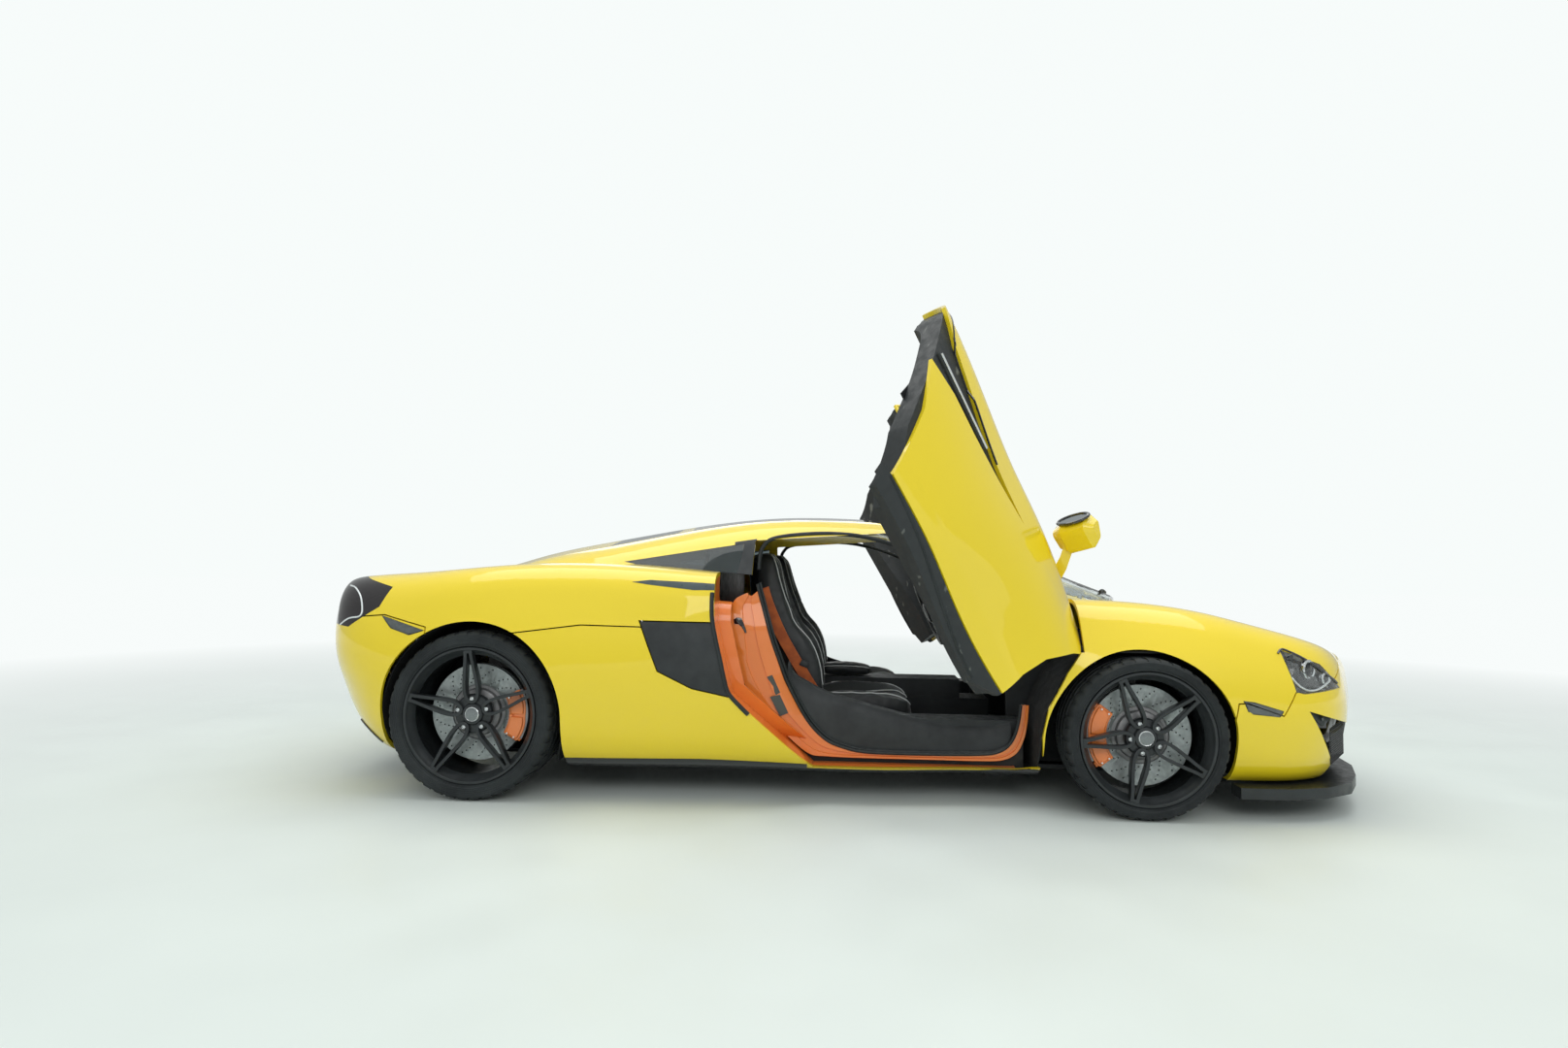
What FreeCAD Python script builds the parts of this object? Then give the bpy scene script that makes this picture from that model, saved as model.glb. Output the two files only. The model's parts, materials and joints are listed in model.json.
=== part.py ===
import FreeCAD, Part
import math
import os

V = FreeCAD.Vector
os.makedirs("parts", exist_ok=True)

# Two-seat mid-engined sports coupe. +X is the nose, +Y the left side, +Z up, in millimetres.
# The origin is on the ground below the middle of the car.

# ------------------------------------------------------------------ driving sizes
WHEELBASE = 2670.0
FRONT_OVERHANG = 1100.0
REAR_OVERHANG = 760.0
FRONT_TRACK = 1673.0
REAR_TRACK = 1618.0
FRONT_AXLE_X = (WHEELBASE + REAR_OVERHANG - FRONT_OVERHANG) / 2
REAR_AXLE_X = FRONT_AXLE_X - WHEELBASE

FRONT_TYRE_RADIUS = 310.0
FRONT_TYRE_WIDTH = 225.0
FRONT_RIM_RADIUS = 258.0
REAR_TYRE_RADIUS = 340.0
REAR_TYRE_WIDTH = 285.0
REAR_RIM_RADIUS = 274.0
FRONT_ARCH_RADIUS = 360.0
FRONT_ARCH_X = FRONT_AXLE_X - 20.0
FRONT_ARCH_Z = 290.0
STEER_SWEEP = 387.0       # half length of the front liner, clear of the tyre at full lock
REAR_ARCH_RADIUS = 378.0

SKIN = 16.0               # thickness of a body panel with its flange
GAP = 5.0                 # shut line between two panels
SCUTTLE_GAP = 15.0        # between the bonnet's rear edge and the windscreen's foot
SEAT_GAP = 0.3            # running seat between pieces that only touch
DOOR_DEPTH = 100.0        # from the outer skin to the inner trim of a door
JAMB_WIDTH = 46.0         # frame round the door opening, seen from the side
DOOR_FRONT_X = 918.0      # rear edge of the front wing above the wheel arch
HINGE_RELIEF = 20.0       # room for the door's front edge as it turns behind the wing
WING_RELIEF_X = 932.0     # rear end of the wing's top, clear of the door's turning corner
WING_RELIEF_Y = 695.0
WING_RELIEF_Z = 635.0
COWL_Y = 750.0            # inner edge of the door's top beside the windscreen
DOOR_OPEN_DEG = 69.0      # swing of a door about its leaning hinge
DOOR_HINGE_POINT = V(828.0, -760.0, 718.0)
DOOR_HINGE_AXIS = V(-0.424, 0.760, 0.493)
JAMB_THICKNESS = 12.0     # sheet of the frame round the door opening
TUB_REAR_X = -600.0
FOOTWELL_X = 1000.0
FOOTWELL_Y = 540.0
WALL = 20.0               # tub's walls
SILL_HEIGHT = 330.0
SILL_WIDTH = 130.0
HINGE_PIN = 80.0
HINGE_PIN_RADIUS = 12.0
GRILLE_Y = 430.0          # half width of the grille between the front intakes
PLATE_DEPTH = 22.0        # plate holder proud of the nose
PLATE_WIDTH = 500.0
FLOOR_Z = 110.0           # underside of the flat floor
FLOOR_THICKNESS = 30.0
TUB_SIDE_Y = 700.0        # outer side of the tub's sills
LINER_THICKNESS = 6.0     # wheel arch liner
JACKING_X = (650.0, -750.0)
JACKING_Y = 620.0
JACKING_PAD = 60.0
JACKING_Z = 98.0          # lower face of the jacking pads
GLASS = 5.0               # side glass

# Body sections, half of each, from the floor's edge up to the middle of the deck.
# "axle" names the axle that the station is measured from, dx is the distance ahead of it.
#   axle, dx, floor z, floor y, waist y, waist z, crest y, crest z, valley y, valley z, middle z
BODY = [
    ("front", 1078, 230, 150, 250, 390, 215, 520, 130, 548, 560),
    ("front", 1045, 170, 250, 360, 400, 320, 556, 220, 590, 602),
    ("front", 985, 145, 400, 500, 400, 455, 582, 320, 618, 632),
    ("front", 895, 130, 560, 660, 405, 600, 612, 400, 642, 656),
    ("front", 800, 120, 700, 812, 420, 730, 645, 450, 664, 682),
    ("front", 715, 116, 780, 890, 435, 795, 678, 465, 678, 696),
    ("front", 560, 112, 850, 950, 460, 820, 730, 480, 705, 722),
    ("front", 285, 110, 880, 975, 520, 790, 812, 480, 750, 770),
    ("front", 0, 110, 890, 982, 540, 770, 845, 480, 795, 812),
    ("front", -315, 110, 860, 965, 560, 820, 845, 560, 830, 850),
    ("front", -865, 110, 850, 955, 500, 870, 880, 640, 880, 890),
    ("rear", 1205, 110, 860, 965, 500, 900, 910, 640, 915, 930),
    ("rear", 605, 110, 900, 985, 560, 880, 945, 600, 960, 965),
    ("rear", 0, 120, 920, 990, 600, 870, 945, 560, 935, 945),
    ("rear", -395, 150, 880, 970, 600, 860, 905, 540, 905, 915),
    ("rear", -620, 225, 640, 862, 590, 790, 885, 500, 885, 895),
    ("rear", -700, 300, 540, 740, 600, 670, 860, 400, 872, 880),
    ("rear", -760, 400, 420, 600, 620, 540, 812, 320, 842, 852),
]

# Cabin sections: axle, dx, base y, base z, shoulder y, shoulder z, middle z
CABIN = [
    ("front", 110, 600, 700, 470, 790, 826),
    ("front", -165, 720, 700, 570, 900, 950),
    ("front", -465, 800, 740, 620, 1020, 1075),
    ("front", -865, 830, 760, 640, 1125, 1178),
    ("front", -1215, 840, 780, 630, 1150, 1206),
    ("rear", 1205, 830, 780, 610, 1148, 1205),
    ("rear", 805, 800, 800, 570, 1095, 1165),
    ("rear", 405, 740, 800, 520, 1020, 1095),
    ("rear", 5, 640, 800, 440, 940, 1010),
    ("rear", -295, 520, 780, 360, 870, 930),
]

# Outlines seen from the side, as (x, z) corners
DOOR_OUTLINE = [(850, 850), (DOOR_FRONT_X - 3, 770), (DOOR_FRONT_X, 640), (860, 560), (790, 420), (772, 300), (785, 170),
                (690, 152), (-120, 152), (-445, 445), (-512, 725), (-520, 930), (300, 930)]
DOOR_FRAME_OUTLINE = [(838, 836), (901, 765), (904, 644), (847, 567), (776, 424), (758, 300), (768, 184), (690, 166),
                      (-35, 166), (-234, 352), (-290, 445), (-494, 830), (-500, 916), (300, 916)]
DOOR_SKIN_OUTLINE = [(850, 850), (DOOR_FRONT_X - 3, 770), (DOOR_FRONT_X, 640), (860, 560), (790, 420), (772, 300),
                     (783, 205), (-123, 205), (-253, 436), (-385, 584), (-228, 619), (-57, 631), (163, 656),
                     (350, 674), (96, 696), (-139, 736), (-373, 776), (-512, 840), (-518, 930), (300, 930)]
ROCKER_OUTLINE = [(690, 152), (783, 190), (783, 200), (-122, 200), (-170, 197), (-120, 152)]
HEADLAMP_OUTLINE = [(1690, 655), (1722, 500), (1757, 492), (1940, 508), (1850, 600)]
BUMPER_OUTLINE = [(1440, 60), (1500, 452), (1529, 454), (1670, 407), (1722, 496), (1900, 530),
                  (2020, 600), (2320, 660), (2320, 60)]
INTAKE_OUTLINE = [(-815, 728), (-736, 536), (-600, 470), (-440, 436), (-505, 725)]
SIDE_PANEL_OUTLINE = [(-440, 436), (-815, 704), (-1056, 708), (-1500, 650), (-1500, 60), (900, 60), (900, 180),
                      (-60, 180)]
TAIL_LAMP_OUTLINE = [(-2100, 900), (-1880, 850), (-1912, 769), (-2050, 684), (-2300, 700), (-2300, 900)]
REAR_BUMPER_OUTLINE = [(-1660, 60), (-1696, 690), (-1880, 735), (-2300, 700), (-2300, 60)]
WINDOW_OUTLINE = [(-395, 700), (-385, 1066), (248, 1108), (560, 1000), (965, 760), (965, 700)]
QUARTER_OUTLINE = [(-967, 968), (-460, 878), (-430, 1052)]
FRONT_INTAKE_OUTLINE = [(1770, 428), (2084, 338), (2400, 262), (2400, 60), (1900, 60), (1905, 150), (1925, 205),
                        (1850, 310)]
GRILLE_OUTLINE = [(1950, 372), (2084, 338), (2400, 262), (2400, 60), (1950, 60)]
# Outlines seen from above, as (x, y) corners of the right half
BONNET_OUTLINE = [(1270, 0), (1235, -330), (1150, -545), (1700, -560), (2000, -420), (2090, -200), (2110, 0)]
WINDSCREEN_OUTLINE = [(330, 0), (300, -400), (262, -540), (700, -640), (1110, -660), (1400, -600), (1400, 0)]
ROOF_OUTLINE = [(300, 0), (275, -380), (235, -500), (-200, -500), (-700, -420), (-740, 0)]
DECK_OUTLINE = [(-1100, 0), (-1100, -480), (-1700, -560), (-2120, -560), (-2150, 0)]
REAR_GLASS_OUTLINE = [(-790, 0), (-770, -400), (-1090, -400), (-1090, 0)]


# ------------------------------------------------------------------ helpers
def axle_x(name, dx):
    return (FRONT_AXLE_X if name == "front" else REAR_AXLE_X) + dx


def shifted(corners, distance):
    """Corners of a closed outline with every side moved inwards by distance."""
    turn = sum(a[0] * b[1] - b[0] * a[1] for a, b in zip(corners, corners[1:] + corners[:1]))
    side = 1.0 if turn > 0 else -1.0
    moved = []
    for before, corner, after in zip(corners[-1:] + corners[:-1], corners, corners[1:] + corners[:1]):
        normals = []
        for start, end in ((before, corner), (corner, after)):
            length = math.hypot(end[0] - start[0], end[1] - start[1])
            normals.append((-side * (end[1] - start[1]) / length, side * (end[0] - start[0]) / length))
        (ax, ay), (bx, by) = normals
        scale = distance / (1 + ax * bx + ay * by)
        moved.append((corner[0] + scale * (ax + bx), corner[1] + scale * (ay + by)))
    return moved


def soft_wire(points, share=0.45):
    """Closed wire through lines whose corners are rounded over a share of the shorter side."""
    edges = []
    starts, ends = [], []
    for before, corner, after in zip(points[-1:] + points[:-1], points, points[1:] + points[:1]):
        reach = share * min((before - corner).Length, (after - corner).Length)
        starts.append(corner + (before - corner).normalize() * reach)
        ends.append(corner + (after - corner).normalize() * reach)
    for i, corner in enumerate(points):
        bend = Part.BezierCurve()
        bend.setPoles([starts[i], corner, ends[i]])
        edges.append(bend.toShape())
        edges.append(Part.makeLine(ends[i], starts[(i + 1) % len(points)]))
    return Part.Wire(edges)


def mirrored(shape):
    return shape.mirror(V(0, 0, 0), V(0, 1, 0))


def both_sides(shape):
    return Part.makeCompound([shape, mirrored(shape)])


def side_prism(corners, y_from=-1100.0, y_to=0.0, grow=0.0):
    """Outline seen from the side, carried across the car."""
    if grow:
        corners = shifted(corners, -grow)
    wire = Part.makePolygon([V(x, y_from, z) for x, z in corners + corners[:1]])
    return Part.Face(wire).extrude(V(0, y_to - y_from, 0))


def plan_prism(corners, z_from=0.0, z_to=1400.0, grow=0.0):
    """Outline seen from above, carried upwards."""
    if grow:
        corners = shifted(corners, -grow)
    wire = Part.makePolygon([V(x, y, z_from) for x, y in corners + corners[:1]])
    return Part.Face(wire).extrude(V(0, 0, z_to - z_from))


def box(x_from, x_to, y_from, y_to, z_from, z_to):
    return Part.makeBox(x_to - x_from, y_to - y_from, z_to - z_from, V(x_from, y_from, z_from))


def rod(start, end, radius):
    return Part.makeCylinder(radius, (end - start).Length, start, end - start)


def cross_rod(x, y_from, y_to, z, radius):
    return Part.makeCylinder(radius, y_to - y_from, V(x, y_from, z), V(0, 1, 0))


def body_solid(inset=0.0):
    wires = []
    last = len(BODY) - 1
    for i, (axle, dx, zb, yb, yw, zw, ys, zs, yv, zv, zt) in enumerate(BODY):
        x = axle_x(axle, dx)
        x += -inset if i == 0 else inset if i == last else 0
        half = [(yb, zb), (yw, zw), (ys, zs), (yv, zv)]
        ring = half + [(0, zt)] + [(-y, z) for y, z in reversed(half)]
        if inset:
            ring = shifted(ring, inset)
        wires.append(soft_wire([V(x, y, z) for y, z in ring]))
    return Part.makeLoft(wires, True, False)


def cabin_solid(inset=0.0):
    wires = []
    for axle, dx, yb, zb, ys, zs, zt in CABIN:
        half = [(yb, zb), (ys, zs)]
        ring = half + [(0, zt)] + [(-y, z) for y, z in reversed(half)]
        if inset:
            ring = shifted(ring, inset)
        wires.append(soft_wire([V(axle_x(axle, dx), y, z) for y, z in ring], 0.35))
    return Part.makeLoft(wires, True, False)


def save(name, shape):
    solids = [solid for solid in shape.Solids if solid.Volume > 2000]
    result = solids[0] if len(solids) == 1 else Part.makeCompound(solids)
    result.exportStep("parts/" + name + ".step")
    box_ = result.BoundBox
    print("%-22s solids %2d faces %4d valid %s  x %.0f..%.0f y %.0f..%.0f z %.0f..%.0f" % (
        name, len(solids), len(result.Faces), result.isValid(),
        box_.XMin, box_.XMax, box_.YMin, box_.YMax, box_.ZMin, box_.ZMax))


def open_door(shape):
    """Turn a closed right door piece about its hinge to where the door stands open."""
    turned = shape.copy()
    turned.rotate(DOOR_HINGE_POINT, DOOR_HINGE_AXIS, DOOR_OPEN_DEG)
    return turned


# ------------------------------------------------------------------ body shells
right_half = box(-3000, 3000, -1500, 0, -10, 1500)
body_outer = body_solid()
body_inner = body_solid(SKIN)
body_core = body_solid(SKIN + DOOR_DEPTH)
cabin_outer = cabin_solid()
cabin_inner = cabin_solid(SKIN)

arches = [
    cross_rod(FRONT_ARCH_X, -1200, -560, FRONT_ARCH_Z, FRONT_ARCH_RADIUS),
    box(FRONT_ARCH_X - FRONT_ARCH_RADIUS, FRONT_ARCH_X + FRONT_ARCH_RADIUS, -1200, -560, 0, FRONT_ARCH_Z),
    cross_rod(REAR_AXLE_X, -1200, -560, REAR_TYRE_RADIUS, REAR_ARCH_RADIUS),
    box(REAR_AXLE_X - REAR_ARCH_RADIUS, REAR_AXLE_X + REAR_ARCH_RADIUS, -1200, -560, 0, REAR_TYRE_RADIUS),
]
skin = body_outer.common(right_half).cut(body_inner).cut(cabin_outer)
skin = skin.cut(Part.makeCompound(arches[:1])).cut(Part.makeCompound(arches[1:2]))
skin = skin.cut(arches[2]).cut(arches[3])
cabin_skin = cabin_outer.common(right_half).cut(cabin_inner).cut(body_outer)

lower_cut = box(-3000, 3000, -1500, 0, -10, FLOOR_Z + FLOOR_THICKNESS)
upper_skin = skin.cut(lower_cut)
floor_skin = skin.common(lower_cut)
for x in JACKING_X:
    floor_skin = floor_skin.fuse(box(x - JACKING_PAD, x + JACKING_PAD, -JACKING_Y - JACKING_PAD / 2,
                                     -JACKING_Y + JACKING_PAD / 2, JACKING_Z, FLOOR_Z + FLOOR_THICKNESS - 5))


def panel(source, region, *neighbours):
    shape = source.common(region)
    for other in neighbours:
        shape = shape.cut(other)
    return shape


hinge_relief = side_prism([(DOOR_FRONT_X - HINGE_RELIEF, 590), (DOOR_FRONT_X - HINGE_RELIEF, 612),
                           (DOOR_FRONT_X - 4 * HINGE_RELIEF, 850), (DOOR_FRONT_X - 4 * HINGE_RELIEF, 900),
                           (DOOR_FRONT_X + GAP, 900), (DOOR_FRONT_X + GAP, 590)])
door_region = side_prism(DOOR_SKIN_OUTLINE, -1100, -COWL_Y).cut(hinge_relief)
door_hole = side_prism(DOOR_OUTLINE, grow=GAP)
front_intake_hole = side_prism(FRONT_INTAKE_OUTLINE, -1100, -GRILLE_Y)
grille_hole = side_prism(GRILLE_OUTLINE, -GRILLE_Y, 0, grow=SEAT_GAP)
bumper_hole = side_prism(BUMPER_OUTLINE, grow=GAP)
lamp_hole = side_prism(HEADLAMP_OUTLINE, -1100, -480, grow=SEAT_GAP)
intake_hole = side_prism(INTAKE_OUTLINE, grow=GAP)
panel_hole = side_prism(SIDE_PANEL_OUTLINE, grow=GAP)
tail_hole = side_prism(TAIL_LAMP_OUTLINE, -1100, -420, grow=SEAT_GAP)
rear_bumper_hole = side_prism(REAR_BUMPER_OUTLINE, grow=GAP)
bonnet_hole = plan_prism(BONNET_OUTLINE, 400, grow=GAP)
deck_hole = plan_prism(DECK_OUTLINE, 600, grow=GAP)
tail_panel_hole = box(-3000, DECK_OUTLINE[-1][0] + GAP, -420 - SEAT_GAP, 0, 700 - SEAT_GAP, 1000)
wing_relief = box(0, WING_RELIEF_X, -1500, -WING_RELIEF_Y, WING_RELIEF_Z, 1500)
front_region = box(0, 3000, -1500, 0, 0, 1500)
rear_region = box(-3000, 0, -1500, 0, 0, 1500)

headlamp = panel(upper_skin, side_prism(HEADLAMP_OUTLINE, -1100, -480))
bonnet_half = panel(upper_skin, plan_prism(BONNET_OUTLINE, 400), lamp_hole)
front_bumper_half = panel(upper_skin, side_prism(BUMPER_OUTLINE), lamp_hole, bonnet_hole, front_intake_hole, grille_hole)
grille_half = panel(upper_skin, side_prism(GRILLE_OUTLINE, -GRILLE_Y, 0))
front_fender = panel(upper_skin, front_region, lamp_hole, bonnet_hole, bumper_hole, door_hole, panel_hole,
                     wing_relief)
side_intake = panel(upper_skin, side_prism(INTAKE_OUTLINE), door_hole)
side_panel = panel(upper_skin, side_prism(SIDE_PANEL_OUTLINE), door_hole, intake_hole)
tail_lamp = panel(upper_skin, side_prism(TAIL_LAMP_OUTLINE, -1100, -420))
rear_bumper_half = panel(upper_skin, side_prism(REAR_BUMPER_OUTLINE), tail_hole)
deck_half = panel(upper_skin, plan_prism(DECK_OUTLINE, 600), rear_bumper_hole, tail_hole)
rear_fender = panel(upper_skin, rear_region, door_hole, intake_hole, panel_hole, tail_hole,
                    rear_bumper_hole, deck_hole, tail_panel_hole)
tail_panel_half = panel(upper_skin, tail_panel_hole, tail_hole, rear_bumper_hole, deck_hole)

for name, shape in [("headlamps", headlamp), ("front_fenders", front_fender), ("side_intakes", side_intake),
                    ("side_panels", side_panel), ("tail_lamps", tail_lamp), ("rear_fenders", rear_fender)]:
    save(name, both_sides(shape))
for name, shape in [("bonnet", bonnet_half), ("front_bumper", front_bumper_half), ("front_grille", grille_half),
                    ("rear_bumper", rear_bumper_half), ("rear_deck", deck_half), ("tail_panel", tail_panel_half),
                    ("underbody", floor_skin)]:
    save(name, shape.fuse(mirrored(shape)).removeSplitter())

# ------------------------------------------------------------------ upper body
windscreen_hole = plan_prism(WINDSCREEN_OUTLINE, grow=SEAT_GAP)
roof_hole = plan_prism(ROOF_OUTLINE, grow=SEAT_GAP)
rear_glass_hole = plan_prism(REAR_GLASS_OUTLINE, grow=SEAT_GAP)
window_hole = side_prism(WINDOW_OUTLINE)
quarter_hole = side_prism(QUARTER_OUTLINE, grow=SEAT_GAP)

bonnet_swing = plan_prism(BONNET_OUTLINE, 400, grow=SCUTTLE_GAP)
windscreen_half = panel(cabin_skin, plan_prism(WINDSCREEN_OUTLINE), bonnet_swing)
roof_half = panel(cabin_skin, plan_prism(ROOF_OUTLINE), windscreen_hole)
rear_glass_half = panel(cabin_skin, plan_prism(REAR_GLASS_OUTLINE))
quarter_window = panel(cabin_skin, side_prism(QUARTER_OUTLINE))
roof_frame_half = panel(cabin_skin, right_half, windscreen_hole, roof_hole, rear_glass_hole,
                        quarter_hole, window_hole)
for name, shape in [("windscreen", windscreen_half), ("roof", roof_half), ("rear_window", rear_glass_half),
                    ("roof_frame", roof_frame_half)]:
    save(name, shape.fuse(mirrored(shape)).removeSplitter())
save("quarter_windows", both_sides(quarter_window))

# ------------------------------------------------------------------ doors and their frames
body_seal = body_solid(SKIN + DOOR_DEPTH - GAP)
body_flange = body_solid(SKIN + DOOR_DEPTH + JAMB_THICKNESS)
door_zone = box(-900, 1100, -1100, -TUB_SIDE_Y - GAP, 0, 1400)

door_skin = panel(upper_skin.common(door_zone), door_region)
rocker = panel(upper_skin.common(door_zone), side_prism(ROCKER_OUTLINE, -1100, -COWL_Y))
door_frame = panel(body_inner.common(door_zone).cut(body_seal),
                   side_prism(DOOR_FRAME_OUTLINE, -1100, -COWL_Y).cut(hinge_relief),
                   cabin_outer, arches[0])
glass_top, glass_foot = 905.0, 470.0
glass_outline = [(-380, glass_top), (760, glass_top - 65), (690, 620), (560, glass_foot), (-330, glass_foot)]
glass_plane = side_prism(glass_outline, -GLASS, 0)
glass_lean = math.degrees(math.atan2(60, glass_top - glass_foot))
glass_plane.rotate(V(0, 0, glass_foot), V(1, 0, 0), -glass_lean)
glass_plane.translate(V(0, -842, 0))
glass_slot = side_prism(shifted(glass_outline, -SEAT_GAP), -GLASS - SEAT_GAP, SEAT_GAP)
glass_slot.rotate(V(0, 0, glass_foot), V(1, 0, 0), -glass_lean)
glass_slot.translate(V(0, -842, 0))
door_frame = door_frame.cut(glass_slot)
door_skin = door_skin.cut(glass_slot)
mirror_head = Part.makeLoft([
    soft_wire([V(x, y, z) for x, z in ((462 + dx, 840 + dz), (592 - dx, 852 + dz), (584 - dx, 928 - dz),
                                       (456 + dx, 962 - dz))], 0.4)
    for y, dx, dz in ((-1050, 34, 30), (-1022, 6, 6), (-920, 0, 0), (-872, 24, 24))], True, True)
mirror_arm = Part.makeLoft([
    Part.makePolygon([V(x + dx, y, z + dz) for dx, dz in ((-30, 0), (30, 0), (22, 20), (-22, 20), (-30, 0))])
    for x, y, z in ((668, -820, 812), (610, -880, 838), (545, -925, 876))], True, True)
mirror = mirror_head.fuse(mirror_arm).cut(body_outer)

hinge_out = V(-DOOR_HINGE_AXIS.x, -DOOR_HINGE_AXIS.y, -DOOR_HINGE_AXIS.z).normalize()


def on_hinge(distance):
    """Point on the right door's hinge axis, distance mm outwards from its middle."""
    return DOOR_HINGE_POINT + hinge_out * distance


hinge_pin = rod(on_hinge(-HINGE_PIN), on_hinge(HINGE_PIN * 0.8), HINGE_PIN_RADIUS)
door_frame = door_frame.fuse(hinge_pin).cut(cabin_outer)
hinge_bearing = rod(on_hinge(-HINGE_PIN * 1.3), on_hinge(-HINGE_PIN * 0.53), HINGE_PIN_RADIUS * 2)
bearing_strut = rod(on_hinge(-HINGE_PIN * 1.1), V(850, -FOOTWELL_Y + WALL / 2, 610), HINGE_PIN_RADIUS * 1.5)
bearing_bore = rod(on_hinge(-HINGE_PIN - SEAT_GAP), on_hinge(HINGE_PIN), HINGE_PIN_RADIUS + SEAT_GAP)
bearing_envelope = hinge_bearing.fuse(bearing_strut)
hinge_bearing = bearing_envelope.cut(bearing_bore)
door_parts = [("skin", door_skin), ("frame", Part.makeCompound([door_frame, rocker])), ("glass", glass_plane), ("mirror", mirror)]
for part_name, shape in door_parts:
    opened = open_door(shape)
    save("door_right_" + part_name, opened)
    save("door_left_" + part_name, mirrored(opened))

jamb_outer = side_prism(DOOR_OUTLINE, grow=GAP + JAMB_THICKNESS)
jamb_return = panel(body_inner.common(door_zone).cut(body_core), jamb_outer, door_hole)
jamb_flange = panel(body_core.common(door_zone).cut(body_flange), jamb_outer,
                    side_prism(shifted(DOOR_OUTLINE, JAMB_WIDTH)))
jamb_cut = box(700, 1100, -1100, 0, 0, 1400)
door_jamb = jamb_return.fuse(jamb_flange).cut(cabin_outer).cut(arches[0]).cut(jamb_cut).cut(lower_cut)
save("door_jambs", both_sides(door_jamb))

# ------------------------------------------------------------------ tub, liners and floor
floor_top = FLOOR_Z + FLOOR_THICKNESS
tub = box(TUB_REAR_X, 740, -TUB_SIDE_Y, TUB_SIDE_Y, floor_top, SILL_HEIGHT)
tub = tub.cut(box(TUB_REAR_X + WALL, 760, -TUB_SIDE_Y + SILL_WIDTH, TUB_SIDE_Y - SILL_WIDTH,
                  floor_top + WALL, SILL_HEIGHT + 1))
footwell = box(700, FOOTWELL_X, -FOOTWELL_Y, FOOTWELL_Y, floor_top, 640)
footwell = footwell.cut(box(690, FOOTWELL_X - WALL, -FOOTWELL_Y + WALL, FOOTWELL_Y - WALL,
                            floor_top + WALL, 620))
bulkhead = box(TUB_REAR_X, TUB_REAR_X + WALL, -TUB_SIDE_Y, TUB_SIDE_Y, floor_top, 1100)
bulkhead = bulkhead.common(cabin_inner.fuse(body_flange))
tunnel = box(TUB_REAR_X + WALL, 700, -90, 90, floor_top + WALL, 330)
tub = tub.fuse([footwell, bulkhead, tunnel, hinge_bearing, mirrored(hinge_bearing)]).removeSplitter()
save("tub", tub)

def arch_liner(x, z, radius, y_inner, y_outer):
    outer = cross_rod(x, -y_outer, -y_inner, z, radius + LINER_THICKNESS + 1)
    inner = cross_rod(x, -y_outer - 1, -y_inner - LINER_THICKNESS, z, radius + 1)
    lower = box(x - 600, x + 600, -1200, 0, -200, FLOOR_Z + FLOOR_THICKNESS)
    arm_window = box(x - 120, x + 140, -1200, 0, 140, 560)
    wall = cross_rod(x, -y_inner - LINER_THICKNESS, -y_inner, z, radius)
    return outer.cut(inner).cut(lower).cut(wall.common(arm_window))


def steering_liner(y_inner, y_outer):
    """Front liner: its outline clears the tyre at full lock, ahead of the axle and behind it."""
    reach = STEER_SWEEP
    half = [(reach, -170), (reach, 0), (reach - 10, 80), (reach - 42, 150), (reach - 77, 219),
            (reach - 137, 270), (reach - 202, 305), (reach - 287, 325)]
    ring = half + [(-x, z) for x, z in reversed(half)]
    path_ = [(FRONT_AXLE_X + x, FRONT_TYRE_RADIUS + z) for x, z in ring]
    outer = side_prism(path_, -y_outer, -y_inner, grow=LINER_THICKNESS)
    inner = side_prism(path_, -y_outer - 1, -y_inner - LINER_THICKNESS)
    lower = box(FRONT_AXLE_X - 600, FRONT_AXLE_X + 600, -1200, 0, -200, FLOOR_Z + FLOOR_THICKNESS)
    arm_window = box(FRONT_AXLE_X - 120, FRONT_AXLE_X + 140, -1200, 0, 140, 560)
    wall = side_prism(path_, -y_inner - LINER_THICKNESS, -y_inner)
    return outer.cut(inner).cut(lower).cut(wall.common(arm_window))


liners = [steering_liner(552, 900),
          arch_liner(REAR_AXLE_X, REAR_TYRE_RADIUS, REAR_ARCH_RADIUS, 560, 900)]
liner_half = Part.makeCompound([liner.common(body_inner) for liner in liners])
save("arch_liners", both_sides(liner_half))

# ------------------------------------------------------------------ chassis and engine
RAIL = 60.0
TOWER_Y = 510.0
rail_y = 400.0
front_rails = box(FOOTWELL_X, 1990, -rail_y - RAIL, -rail_y, 250, 250 + 2 * RAIL)
crash_beam = box(1990, 2040, -520, 520, 300, 300 + 2 * RAIL)
rear_rails = box(-2080, TUB_REAR_X, -rail_y - RAIL, -rail_y, 300, 300 + RAIL)
rear_beam = box(-2130, -2080, -600, 600, 300, 300 + 2 * RAIL)
rear_tower = box(REAR_AXLE_X - 100, REAR_AXLE_X + 100, -TOWER_Y, -rail_y, 300, 700)
front_tower = box(FRONT_AXLE_X - 90, FRONT_AXLE_X + 90, -TOWER_Y, -rail_y - RAIL, 250, 600)
save("front_frame", both_sides(front_rails.fuse(front_tower)).fuse(crash_beam))
save("rear_frame", both_sides(rear_rails.fuse(rear_tower)).fuse(rear_beam))

engine = box(-1230, -680, -280, 280, 180, 640)
gearbox = box(-1830, -1230, -150, 150, 190, 470)
engine_mounts = both_sides(box(-1000, -920, -rail_y, -280, 300, 360))
gearbox_mounts = both_sides(box(-1760, -1700, -rail_y, -150, 300, 360))
save("engine_block", engine.fuse(gearbox).fuse(engine_mounts).fuse(gearbox_mounts).removeSplitter())

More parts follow.
